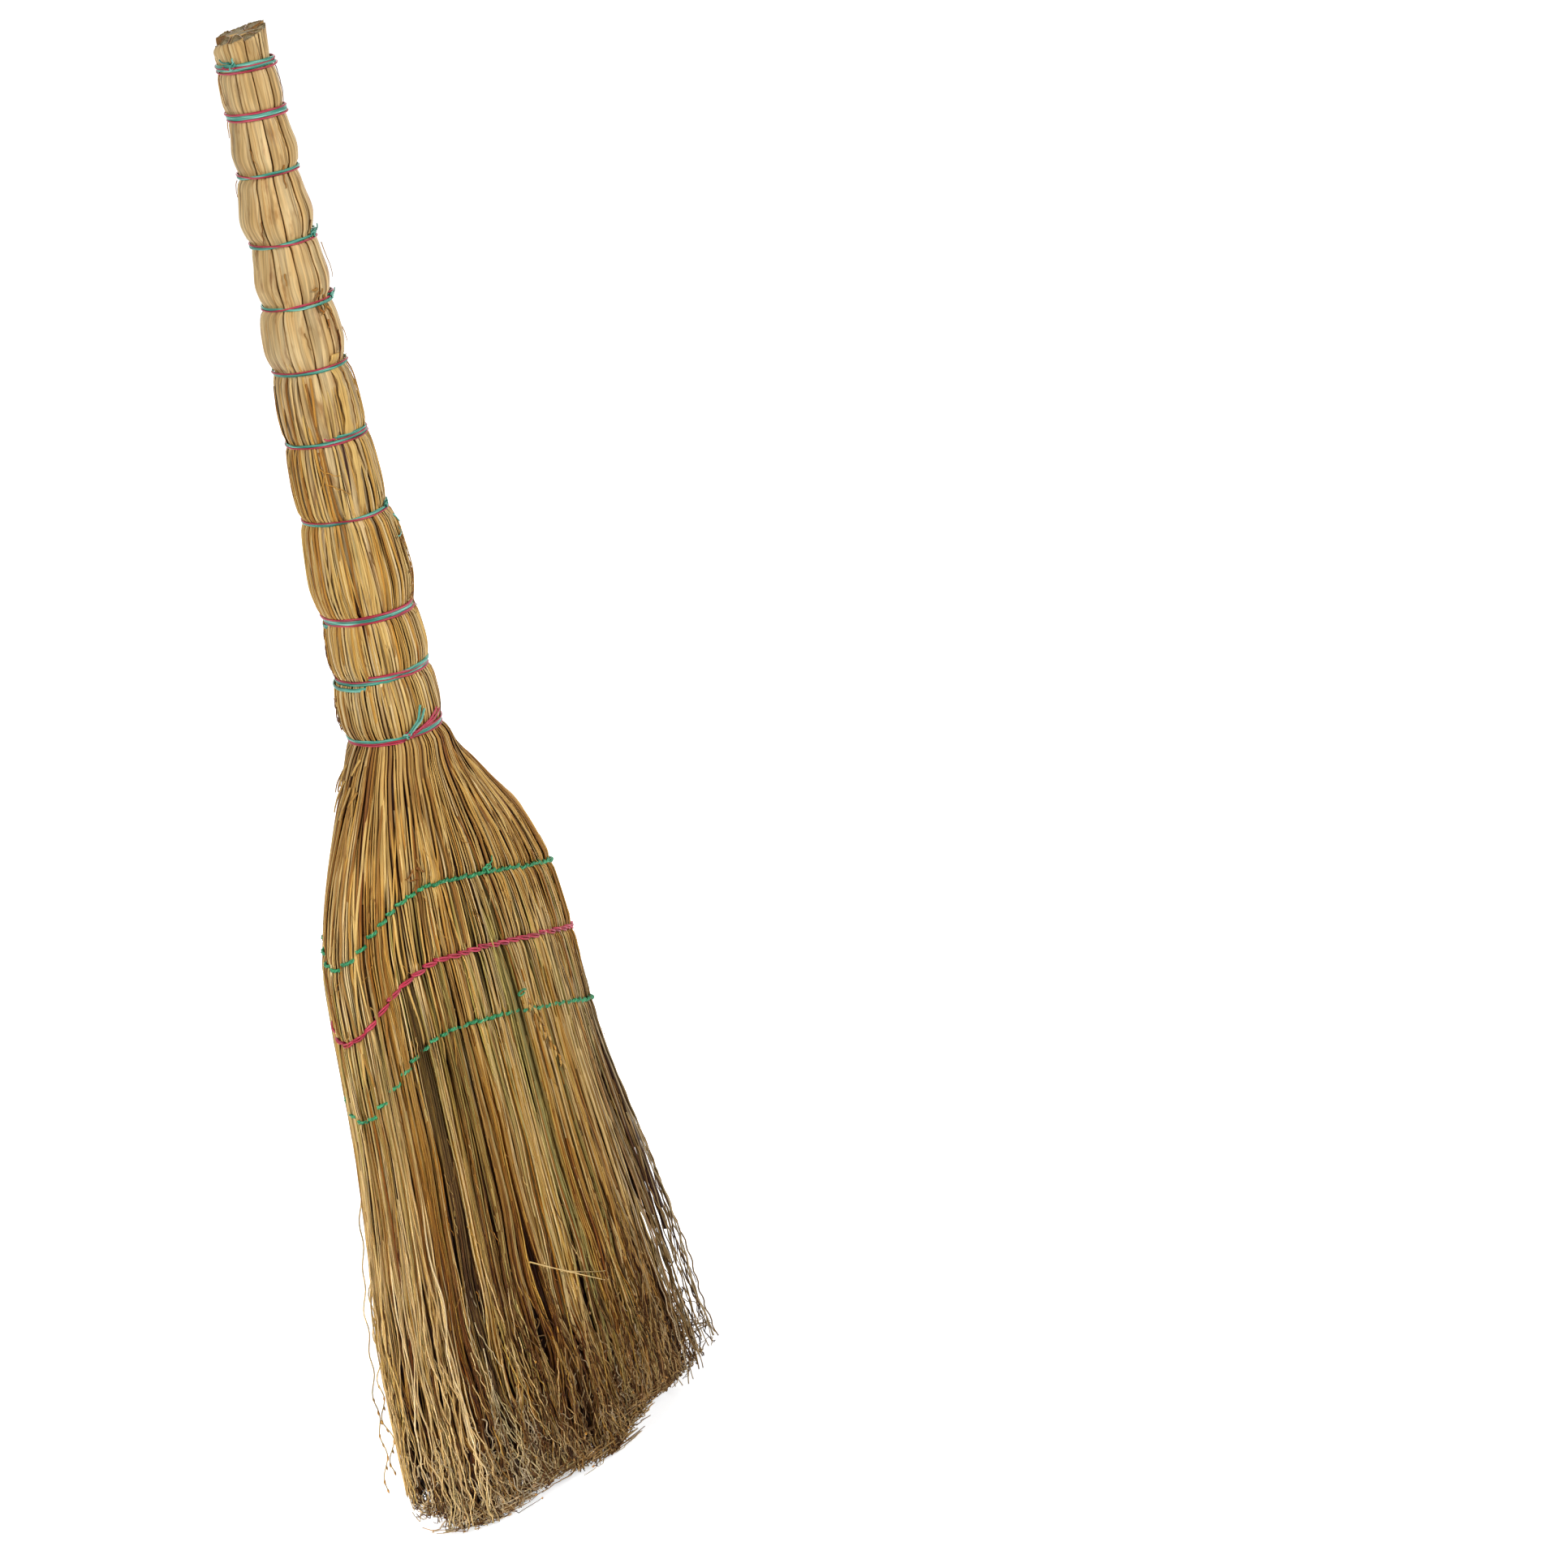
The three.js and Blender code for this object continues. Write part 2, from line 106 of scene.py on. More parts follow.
# %% A smooth curve through measured values
def smooth_curve(place, knots, values):
    """A curve through the knots. It lies level where the values turn back, so it never overshoots."""
    knots, values = np.asarray(knots, float), np.asarray(values, float)
    step = np.diff(knots)
    slope = np.diff(values) / step
    pull = np.zeros_like(values)
    pull[0], pull[-1] = slope[0], slope[-1]
    both = slope[1:] * slope[:-1]
    total = slope[1:] + slope[:-1]
    pull[1:-1] = np.where(both > 0, 2 * both / np.where(total == 0, 1, total), 0)
    i = np.clip(np.searchsorted(knots, place) - 1, 0, len(step) - 1)
    t = np.clip((place - knots[i]) / step[i], 0, 1)
    back = 1 - t
    return ((1 + 2 * t) * back**2 * values[i] + t * back**2 * step[i] * pull[i]
            + t**2 * (3 - 2 * t) * values[i + 1] - t**2 * back * step[i] * pull[i + 1])


def ease(value):
    """From 0 to 1 with a soft start and a soft end."""
    value = np.clip(value, 0, 1)
    return value * value * (3 - 2 * value)


def below(height, start, span):
    """0 above a height, easing to 1 over a span under it."""
    return ease((start - height) / span)


def above(height, start, span):
    """0 under a height, easing to 1 over a span above it."""
    return ease((height - start) / span)


def bell(value, middle, wide):
    """1 at the middle, fading to both sides."""
    return np.exp(-(((value - middle) / wide) ** 2))


def unit(vectors):
    """The same directions at length one."""
    return vectors / np.maximum(np.linalg.norm(vectors, axis=-1, keepdims=True), 1e-9)


# %% The outline at any height
# Between two bands lies a bulge: how far it stands out in its upper and its lower half, and how far it leans aside.
knot_rows = [(z, r, r, handle_middle + lean) for z, r, lean in zip(band_heights, band_radii, band_shift)]
for upper, (high_bulge, low_bulge, lean) in enumerate(bulges):
    low_z, low_r = band_heights[upper + 1], band_radii[upper + 1]
    for share, bulge in ((0.12, low_bulge * 0.5), (0.34, low_bulge), (0.66, high_bulge), (0.88, high_bulge * 0.6)):
        z = low_z + share * (band_heights[upper] - low_z)
        r = low_r + share * (band_radii[upper] - low_r) + bulge
        knot_rows.append((z, r, r, handle_middle + lean))
knot_rows += [(447.0, 31.5, 28.5, handle_middle), (842.0, 15.9, 15.9, handle_middle - 0.6)]
knot_rows += list(zip(head_heights, head_widths, head_depths, head_middles))
knot_rows.append((broom_length + 6, 17.2, 17.2, handle_middle - 0.6))
outline_rows = np.array(sorted(knot_rows)).T


def outline(height):
    """The middle, half width and half depth of the broom at a height."""
    z, width, depth, middle = outline_rows
    return tuple(smooth_curve(height, z, column) for column in (middle, width, depth))


def girth(height):
    """The way round the broom at a height."""
    _, a, b = outline(height)
    return math.pi * (3 * (a + b) - np.sqrt((3 * a + b) * (a + 3 * b)))


print("girth at the neck", round(float(girth(neck))), "and at mid head", round(float(girth(300.0))), "mm")

# %% From a share of the way round to a point
flatness = np.linspace(0.25, 1.0, 61)
shares_kept = 361
turn = np.linspace(0, 2 * math.pi, 721)
angle_rows = []
for flat in flatness:
    speed = np.hypot(np.sin(turn), flat * np.cos(turn))
    along = np.concatenate([[0], np.cumsum((speed[1:] + speed[:-1]) / 2)])
    angle_rows.append(np.interp(np.linspace(0, 1, shares_kept), along / along[-1], turn))
angle_rows = np.array(angle_rows)


def angle_at(share, flat):
    """The angle of a share on an ellipse, read from the table by its flatness."""
    whole = np.floor(share)
    column = (share - whole) * (shares_kept - 1)
    i = np.minimum(column.astype(int), shares_kept - 2)
    f = column - i
    row = np.clip((flat - flatness[0]) / (flatness[1] - flatness[0]), 0, len(flatness) - 1.001)
    j = row.astype(int)
    g = row - j
    low = angle_rows[j, i] * (1 - f) + angle_rows[j, i + 1] * f
    high = angle_rows[j + 1, i] * (1 - f) + angle_rows[j + 1, i + 1] * f
    return low * (1 - g) + high * g + 2 * math.pi * whole


def surface(share, height, inset=0.0):
    """Points under the outline, and the way out of it there."""
    share, height, inset = np.broadcast_arrays(*(np.asarray(x, float) for x in (share, height, inset)))
    middle, width, depth = outline(height)
    angle = angle_at(share, depth / width)
    out = unit(np.stack([np.cos(angle) / width, np.sin(angle) / depth, np.zeros_like(width)], axis=-1))
    point = np.stack([middle + width * np.cos(angle), depth * np.sin(angle), height], axis=-1)
    return point - out * inset[..., None], out


# %% [markdown]
# ## Stitch rows
# Each of the three rows rises to a peak left of the middle and drops to both sides. The twine pulls the straws in, so
# the outline has a shallow groove there, and the straws swell again below it.

# %% Height of a row, and the groove that bands and rows press in
row_heights = neck * np.array([0.822, 0.729, 0.639])
row_peak = -0.48
row_right_drop, row_left_drop = 34.0, 28.0
row_drops = np.array([1.07, 1.12, 1.32])
band_bite, band_reach = 0.55, 2.6
row_bite, row_reach = 0.8, 3.2


def row_height(row, across):
    """The height of a row, from its place across the head: -1 at the left side and 1 at the right."""
    right = np.maximum(across - row_peak, 0) / (1 - row_peak)
    left = np.maximum(row_peak - across, 0) / (1 + row_peak)
    return row_heights[row] - row_drops[row] * (row_right_drop * right**1.4 + row_left_drop * left**2.4)


def across_at(share, height):
    """The place across the head of a share."""
    _, width, depth = outline(np.asarray(height, float))
    return np.cos(angle_at(np.asarray(share, float), depth / width))


def groove(share, height):
    """How far the twine presses the straws in, in millimetres."""
    pressed = np.zeros(np.broadcast(share, height).shape)
    for z in band_heights:
        pressed += band_bite * bell(height, z, band_reach)
    across = across_at(share, height)
    for row in range(3):
        pressed += row_bite * bell(height, row_height(row, across), row_reach)
    return pressed


print("rows peak at", np.round(row_heights))

# %% [markdown]
# ## From strands to a mesh
# A strand is a stack of rings, each with the same number of points. One function joins the rings of all the strands of
# a piece into one mesh with numpy, because a loop over a million faces in Python would take minutes. Each strand is
# closed at both ends. It carries four values that the materials read: its tone picks the hue, its shade is painted
# shade that darkens a point in a seam or in shadow, its age fades it to grey, and its grain says where on the strand a
# point is, in millimetres. Its map gives each strand one upright strip.

# %% Making one piece from many strands
def strands(rings, tone=0.5, shade=1.0, age=0.0, finish=0, cut_finish=None, cut_rings=0):
    """One set of strands that have the same count of rings and sides."""
    n, k, s = rings.shape[:3]
    per_point = {}
    for key, value in (("tone", tone), ("shade", shade), ("age", age)):
        value = np.asarray(value, float)
        while value.ndim < 3:
            value = value[..., None]
        per_point[key] = np.broadcast_to(value, (n, k, s))
    return {"rings": rings, "finish": finish, "cut": cut_finish, "cut_rings": cut_rings, **per_point}


def join_strands(sets, seed):
    """Points, corners, face starts, maps and values of all the sets together."""
    rng = np.random.default_rng(seed)
    total = sum(part["rings"].shape[0] for part in sets)
    rows = max(1, round(math.sqrt(total / 10)))
    columns = math.ceil(total / rows)
    found = {key: [] for key in ("point", "corner", "size", "map", "finish", "smooth", "tone", "shade", "age", "grain")}
    first_point, first_strand = 0, 0
    for part in sets:
        rings = part["rings"]
        n, k, s = rings.shape[:3]
        index = first_point + np.arange(n * k * s).reshape(n, k, s)
        ahead = np.roll(index, -1, axis=2)
        walls = np.stack([index[:, :-1], ahead[:, :-1], ahead[:, 1:], index[:, 1:]], axis=-1)
        strand = first_strand + np.arange(n)
        left = (strand % columns) / columns
        bottom = (strand // columns) / rows
        side = np.arange(s)
        u = np.stack([side, side + 1, side + 1, side], axis=-1) / s
        level = np.arange(k - 1)
        v = 0.04 + 0.92 * np.stack([level, level, level + 1, level + 1], axis=-1) / (k - 1)
        wall_u = np.broadcast_to(left[:, None, None, None] + u[None, None] * 0.9 / columns, walls.shape)
        wall_v = np.broadcast_to(bottom[:, None, None, None] + v[None, :, None] * 0.96 / rows, walls.shape)
        lids = np.stack([index[:, 0, ::-1], index[:, -1]], axis=1)
        round_u = 0.45 + 0.4 * np.cos(2 * math.pi * side / s)
        round_v = 0.015 + 0.012 * np.sin(2 * math.pi * side / s)
        lid_u = np.broadcast_to(left[:, None, None] + round_u / columns, lids.shape)
        lid_v = np.stack([np.broadcast_to(bottom[:, None] + (round_v + lift) / rows, (n, s)) for lift in (0, 0.95)],
                         axis=1)
        middle = rings[0].mean(axis=1)
        a, b, c = rings[0, k // 2, 0], rings[0, k // 2, 1 % s], rings[0, min(k // 2 + 1, k - 1), 0]
        flip = np.dot(np.cross(b - a, c - a), a - middle[k // 2]) < 0
        flipped = slice(None, None, -1) if flip else slice(None)
        found["corner"] += [walls[..., flipped].reshape(-1), lids[..., flipped].reshape(-1)]
        found["map"] += [np.stack([wall_u[..., flipped].reshape(-1), wall_v[..., flipped].reshape(-1)], axis=-1),
                         np.stack([lid_u[..., flipped].reshape(-1), lid_v[..., flipped].reshape(-1)], axis=-1)]
        found["size"] += [np.full(walls.size // 4, 4), np.full(2 * n, s)]
        found["smooth"] += [np.ones(walls.size // 4, bool), np.zeros(2 * n, bool)]
        wall_finish = np.full(walls.shape[:3], part["finish"])
        lid_finish = np.full((n, 2), part["finish"])
        if part["cut"] is not None:
            wall_finish[:, k - 1 - part["cut_rings"]:] = part["cut"]
            lid_finish[:, 1] = part["cut"]
        found["finish"] += [wall_finish.reshape(-1), lid_finish.reshape(-1)]
        found["point"].append(rings.reshape(-1, 3))
        edge = np.linalg.norm(np.diff(rings, axis=2), axis=-1)
        sideways = np.concatenate([np.zeros((n, k, 1)), np.cumsum(edge, axis=2)], axis=2)
        run = np.linalg.norm(np.diff(rings.mean(axis=2), axis=1), axis=-1)
        lengthways = np.concatenate([np.zeros((n, 1)), np.cumsum(run, axis=1)], axis=1)
        lengthways = np.broadcast_to(lengthways[:, :, None], (n, k, s))
        own = np.broadcast_to(rng.uniform(0, 100, (n, 1, 1)), (n, k, s))
        found["grain"].append(np.stack([sideways + own, lengthways, own * 7], axis=-1).reshape(-1, 3))
        for key in ("tone", "shade", "age"):
            found[key].append(part[key].reshape(-1))
        first_point += n * k * s
        first_strand += n
    return {key: np.concatenate(value) for key, value in found.items()}


def make_piece(name, sets, materials, slot, *nodes, seed=1):
    """A piece of the broom: its mesh, materials, and the CAD nodes it stands for. The slot argument is not used."""
    data = join_strands(sets, seed)
    mesh = bpy.data.meshes.new(name)
    mesh.vertices.add(len(data["point"]))
    mesh.vertices.foreach_set("co", (data["point"] * mm).astype(np.float32).ravel())
    mesh.loops.add(len(data["corner"]))
    mesh.loops.foreach_set("vertex_index", data["corner"].astype(np.int32))
    mesh.polygons.add(len(data["size"]))
    starts = np.concatenate([[0], np.cumsum(data["size"])[:-1]])
    mesh.polygons.foreach_set("loop_start", starts.astype(np.int32))
    mesh.polygons.foreach_set("material_index", data["finish"].astype(np.int32))
    mesh.polygons.foreach_set("use_smooth", data["smooth"])
    mesh.update(calc_edges=True)
    mesh.uv_layers.new(name="OFBake")
    mesh.uv_layers["OFBake"].data.foreach_set("uv", data["map"].astype(np.float32).ravel())
    for key in ("tone", "shade", "age"):
        mesh.attributes.new(key, "FLOAT", "POINT").data.foreach_set("value", data[key].astype(np.float32))
    grain = mesh.attributes.new("grain", "FLOAT_VECTOR", "POINT").data
    grain.foreach_set("vector", data["grain"].astype(np.float32).ravel())
    for material in materials:
        mesh.materials.append(material)
    piece = bpy.data.objects.new(name, mesh)
    bpy.context.scene.collection.objects.link(piece)
    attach(piece, "root")
    if nodes:
        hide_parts(*nodes)
    print(name, "faces:", len(data["size"]))


# %% Sections swept along a path
round_section = {s: np.stack([np.sin(2 * math.pi * np.arange(s) / s), np.cos(2 * math.pi * np.arange(s) / s)], axis=-1)
                 for s in (3, 4, 5, 6, 8)}


def ways_of(path, out):
    """The ways to the side and up, square to a path, where up is as near to the way out as it can be."""
    tangent = unit(np.gradient(path, axis=-2))
    side = unit(np.cross(tangent, out))
    return side, np.cross(side, tangent)


def sweep(path, out, half_width, half_thick=None, sides=3, twist=None):
    """Rings round the points of each path. The width lies across the way out, the thickness along it."""
    half_thick = half_width if half_thick is None else half_thick
    side, up = ways_of(path, out)
    if twist is not None:
        c, s = np.cos(twist)[..., None], np.sin(twist)[..., None]
        side, up = side * c + up * s, up * c - side * s
    section = round_section[sides]
    wide = (np.asarray(half_width)[..., None] * section[:, 0])[..., None]
    thick = (np.asarray(half_thick)[..., None] * section[:, 1])[..., None]
    return path[:, :, None] + side[:, :, None] * wide + up[:, :, None] * thick


def one_strand(path, out, wide, thick=None, sides=5, **looks):
    """A set of a single strand along one path."""
    wide, thick = (np.broadcast_to(value, (1, len(path))) for value in (wide, wide if thick is None else thick))
    return strands(sweep(path[None], out[None], wide, thick, sides=sides), **looks)


def either(rng, shape, chance, some, rest):
    """Random values: by that chance from the first range, else from the second."""
    return np.where(rng.random(shape) < chance, rng.uniform(*some, shape), rng.uniform(*rest, shape))


def waves(rng, count, height, lengths, sizes, rows=None):
    """A soft wander: a sum of sine waves with phases of its own for each of count strands, or for each row's group."""
    rows = np.arange(count) if rows is None else rows
    total = np.zeros((len(rows), height.shape[-1]))
    for length, size in zip(lengths, sizes):
        wave = length * rng.uniform(0.75, 1.3, (count, 1))[rows]
        tall = size * rng.uniform(0.4, 1.4, (count, 1))[rows]
        total += tall * np.sin(2 * math.pi * (height / wave + rng.uniform(0, 1, (count, 1))[rows]))
    return total


# %% [markdown]
# ## Materials
# Dried broomcorn is a grass. Its stalks and straws have a thin skin with a faint shine and fine grooves along the
# stem, each stem has its own hue from pale tan to rust, and shade turns the seams dark brown. So one recipe makes all
# the plant materials: a ramp picks the hue from the strand's tone, long narrow noise draws the grooves, and the shade
# value paints shade into the colour: it darkens what lies in a seam or in shadow. The twine is split plastic film: it
# shines in long streaks, partly by its gloss and partly by highlights and shade painted along the streaks.

# %% Colours and nodes
def linear(code):
    """An sRGB hex code as the linear colour that the shaders work in."""
    parts = [int(code[i:i + 2], 16) / 255 for i in (1, 3, 5)]
    return tuple(p / 12.92 if p <= 0.04045 else ((p + 0.055) / 1.055) ** 2.4 for p in parts) + (1.0,)


def add(tree, kind, inputs=None, stops=None, **settings):
    """One node with its settings. Its inputs are values, or the sockets that feed them."""
    made = tree.nodes.new(kind)
    for key, value in settings.items():
        setattr(made, key, value)
    for key, value in (inputs or {}).items():
        if isinstance(value, bpy.types.NodeSocket):
            tree.links.new(value, made.inputs[key])
        else:
            made.inputs[key].default_value = value
    for number, (place, colour) in enumerate(stops or []):
        points = made.color_ramp.elements
        point = points[number] if number < 2 else points.new(place)
        point.position, point.color = place, colour
    return made


def empty_tree(owner):
    """The node tree of a material or a world, with nothing in it."""
    owner.use_nodes = True
    owner.node_tree.nodes.clear()
    return owner.node_tree


def strand_value(tree, key, output="Fac"):
    """One of the values that the strands carry."""
    return add(tree, "ShaderNodeAttribute", attribute_name=key).outputs[output]


def streaks(tree, across_mm, along_mm, detail, rough=0.55):
    """Noise in streaks that lie along the strand."""
    scale = (1 / across_mm, 1 / along_mm, 1)
    grain = strand_value(tree, "grain", "Vector")
    scaled = add(tree, "ShaderNodeVectorMath", {0: grain, 1: scale}, operation="MULTIPLY").outputs[0]
    settings = {"Vector": scaled, "Scale": 1.0, "Detail": detail, "Roughness": rough}
    return add(tree, "ShaderNodeTexNoise", settings).outputs["Fac"]


def plant_material(name, hues, dark, grey, groove_mm, run_mm, roughness, ridge_mm, streak=0.3, drift=0.45,
                   stain="#8A5A2A", stained=0.0):
    """Dried plant skin. Grooves are groove_mm apart and run_mm long."""
    material = bpy.data.materials.new(name)
    tree = empty_tree(material)
    tone, shade, age = (strand_value(tree, key) for key in ("tone", "shade", "age"))
    grooves = streaks(tree, groove_mm, run_mm, 3.0, 0.6)
    patches = streaks(tree, 7.0, 38.0, 2.0)
    cracks = streaks(tree, groove_mm * 1.6, run_mm * 1.8, 1.0)
    blots = streaks(tree, 5.0, 17.0, 3.0)
    shift = add(tree, "ShaderNodeMath", {0: patches, 1: 0.5}, operation="SUBTRACT").outputs[0]
    hue_at = add(tree, "ShaderNodeMath", {0: shift, 1: drift, 2: tone}, operation="MULTIPLY_ADD").outputs[0]
    stops = [(place, linear(code)) for place, code in hues]
    hue = add(tree, "ShaderNodeValToRGB", {0: hue_at}, stops=stops).outputs[0]
    blotted = add(tree, "ShaderNodeMapRange", {0: blots, 1: 0.54, 2: 0.7, 3: 0.0, 4: stained}).outputs[0]
    hue = add(tree, "ShaderNodeMix", {0: blotted, 6: hue, 7: linear(stain)}, data_type="RGBA").outputs[2]
    faded = add(tree, "ShaderNodeMix", {0: age, 6: hue, 7: linear(grey)}, data_type="RGBA").outputs[2]
    worn, deep = 1 + streak * 0.3, 1 - streak
    light = add(tree, "ShaderNodeMapRange", {0: grooves, 1: 0.36, 2: 0.62, 3: deep, 4: worn}).outputs[0]
    open_line = add(tree, "ShaderNodeMapRange", {0: cracks, 1: 0.62, 2: 0.67, 3: 1.0, 4: 1 - 1.4 * streak}).outputs[0]
    light = add(tree, "ShaderNodeMath", {0: light, 1: open_line}, operation="MULTIPLY").outputs[0]
    lined = add(tree, "ShaderNodeVectorMath", {0: faded, "Scale": light}, operation="SCALE").outputs[0]
    # Painted shade: the shade value picks a factor from the dark colour through warm browns to white, and the colour is
    # multiplied by it.
    stops = [(0.0, linear(dark)), (1.0, linear("#FFFFFF")), (0.22, linear("#6C4C2A")), (0.55, linear("#BCA47E"))]
    painted_shade = add(tree, "ShaderNodeValToRGB", {0: shade}, stops=stops).outputs[0]
    seam = add(tree, "ShaderNodeMix", {0: 1.0, 6: lined, 7: painted_shade}, data_type="RGBA", blend_type="MULTIPLY").outputs[2]
    ridges = add(tree, "ShaderNodeBump", {"Strength": 0.8, "Distance": ridge_mm * mm, "Height": grooves}).outputs[0]
    skin = add(tree, "ShaderNodeBsdfPrincipled", {"Base Color": seam, "Roughness": roughness, "IOR": 1.5,
                                                  "Specular IOR Level": 0.22, "Normal": ridges})
    add(tree, "ShaderNodeOutputMaterial", {"Surface": skin.outputs[0]})
    return material


# %% Plant materials
# Sheathed sorghum stalk: a smooth, faintly waxy skin. Its real grooves are half a millimetre apart, too fine to show,
# so they are drawn 1.5 mm apart. Rain and sap leave ochre blots.
stalk_skin = plant_material(
    "sorghum_stalk_dried_smooth",
    [(0.0, "#90632F"), (0.25, "#B08B52"), (0.5, "#C7A46C"), (0.75, "#D6BA87"), (1.0, "#C99C70")],
    "#3A2512", "#A1917A", groove_mm=1.5, run_mm=60, roughness=0.48, ridge_mm=0.2, streak=0.4, drift=1.1,
    stain="#94642F", stained=0.7)
# Broomcorn straw: thinner, more golden, with rust and olive ones among the pale. Its grooves are drawn twice as wide.
straw_skin = plant_material(
    "broomcorn_straw_dried",
    [(0.0, "#8C4C10"), (0.18, "#B17223"), (0.4, "#CC9A46"), (0.6, "#DBB76F"), (0.74, "#E4C996"), (0.86, "#B5A050"),
     (1.0, "#84763C")],
    "#2E1B0A", "#857A62", groove_mm=0.9, run_mm=40, roughness=0.5, ridge_mm=0.1, streak=0.36, drift=0.3,
    stain="#96591F", stained=0.35)
# Broomcorn fibre: the fine branches of the flower head, dull and golden, grey with dust at the worn ends.
fibre_skin = plant_material(
    "broomcorn_fibre_dried",
    [(0.0, "#94540F"), (0.2, "#B97F2C"), (0.42, "#CDA450"), (0.62, "#DFC18A"), (0.82, "#C2AE64"), (1.0, "#948852")],
    "#2E1A09", "#CDBDA2", groove_mm=0.8, run_mm=14, roughness=0.62, ridge_mm=0.05, streak=0.25, drift=0.35)
# Sawn pith: the spongy inside of a stalk, rough and grey brown, with no shine at all.
pith = plant_material(
    "stalk_pith_sawn",
    [(0.0, "#6B4A30"), (0.3, "#94815F"), (0.6, "#AA9973"), (1.0, "#C2B38F")],
    "#33241A", "#9A8F7A", groove_mm=0.9, run_mm=0.9, roughness=0.85, ridge_mm=0.3, streak=0.5, drift=0.8)
print("plant materials:", stalk_skin.name, straw_skin.name, fibre_skin.name, pith.name)

# %% Twine material
def twine_material(name, dull, painted_highlight, deep):
    """Split polypropylene film: smooth plastic, folded lengthways into streaks, with a painted highlight along the
    streaks and painted shade in the valleys.
    """
    material = bpy.data.materials.new(name)
    tree = empty_tree(material)
    shade = strand_value(tree, "shade")
    folds_and_highlights = streaks(tree, 0.8, 18, 2.0, 0.5)
    # Painted highlight and shade: the streak noise runs from the deep colour through the film's own colour to the
    # highlight colour, and the shade value of the valleys mixes in more of the deep colour.
    hue = add(tree, "ShaderNodeValToRGB", {0: folds_and_highlights},
              stops=[(0.32, linear(deep)), (0.68, linear(painted_highlight)), (0.5, linear(dull))]).outputs[0]
    seam = add(tree, "ShaderNodeMix", {0: shade, 6: linear(deep), 7: hue}, data_type="RGBA").outputs[2]
    creases = add(tree, "ShaderNodeBump", {"Strength": 0.9, "Distance": 0.15 * mm, "Height": folds_and_highlights}).outputs[0]
    film = add(tree, "ShaderNodeBsdfPrincipled",
               {"Base Color": seam, "Roughness": 0.38, "IOR": 1.49, "Specular IOR Level": 0.4, "Normal": creases})
    add(tree, "ShaderNodeOutputMaterial", {"Surface": film.outputs[0]})
    return material


# Each twine's own colour, then its painted highlight and its painted shade.
green_film = twine_material("polypropylene_twine_green", "#2B8F78", "#9CDCC9", "#0F5446")
red_film = twine_material("polypropylene_twine_red", "#B3203A", "#D0506A", "#5E0A20")
stitch_film = twine_material("polypropylene_twine_leaf_green", "#188A50", "#66C892", "#08482A")
print("twine materials:", green_film.name, red_film.name, stitch_film.name)

# %% [markdown]
# ## Who lies where round the broom
# At the top nine wide stalks share the ring. From the fifth band down, groups of thin straws push out between them,
# until the stalks lie hidden. Each group splits into finer straws on its way down, because the head is three times as
# far round as the handle, and below the first row of stitches the groups draw apart and leave dark gaps. So the ring
# is shared twice: nine sectors between stalks and groups, and each group between its own straws. The widths fill the
# ring at every height, so no two straws overlap and no hole opens. The lines of the groups stay straight this way,
# where one long list of straws would push its neighbours about in waves.

# %% Groups round the ring
camera_side = 223.0
stalk_edges = np.array([-22.0, 22, 60, 100, 138, 198, 231, 264, 280, 338])
stalk_dives = np.array([660.0, 640, 670, 640, 612, 640, 606, 700, 650])
stalk_fade = 130.0
groups_round = 92
level_step = 2.0
levels = np.arange(0.0, broom_length + 1, level_step)
rng = np.random.default_rng(11)
group_rows, stalk_rows = [], []
for number in range(9):
    left, right = stalk_edges[number] / 360, stalk_edges[number + 1] / 360
    count = max(2, round((right - left) * groups_round))
    order = list(range(count))
    order.insert(count // 2, "stalk")
    widths = []
    for place in order:
        if place == "stalk":
            widths.append((right - left) * (1 - below(levels, stalk_dives[number], stalk_fade)))
        else:
            start = stalk_dives[number] + rng.uniform(-80, 45)
            share = (right - left) / count * rng.uniform(0.5, 1.6)
            widths.append(share * below(levels, start, rng.uniform(35, 70)))
            group_rows.append({"begin": start})
    edges = np.concatenate([np.zeros((1, len(levels))), np.cumsum(widths, axis=0)]) / np.sum(widths, axis=0)
    edges = left + (right - left) * edges
    first = len(group_rows) - count
    for place, low, high in zip(order, edges[:-1], edges[1:]):
        if place == "stalk":
            stalk_rows.append((low, high))
        else:
            group_rows[first + place].update(left=low, right=high)
group_count = len(group_rows)
group_left, group_right, group_begin = (np.array([g[key] for g in group_rows]) for key in ("left", "right", "begin"))
lean = rng.normal(0, 0.16, group_count + 1)
lean[-1] = lean[0]
slant = below(levels, 450, 380) / group_count
group_left = group_left + lean[:-1, None] * slant
group_right = group_right + lean[1:, None] * slant
group_middle = (group_left + group_right) / 2
group_half = (group_right - group_left) / 2
group_gap = rng.uniform(0.08, 0.34, group_count)
print("groups of straws:", group_count)

# %% Looks of each group
# Tones run from 0, rust, over 0.5, gold, to 1, olive. The light of a group is painted light: it darkens or lightens
# the group's colour to follow the photograph's strips, and olive groups and the grey strip are painted darker. Age is
# the grey of the right end, where the brush has worn most.
strip_height = 150.0
strip_row = int(strip_height / level_step)


def share_of(angle_degrees, height):
    """The share of the way round at which a direction from the middle meets the outline."""
    _, width, depth = outline(np.array(float(height)))
    row = np.interp(depth / width, flatness, np.arange(len(flatness)))
    line = angle_rows[int(round(row))]
    return float(np.interp(math.radians(angle_degrees % 360), line, np.linspace(0, 1, shares_kept)))


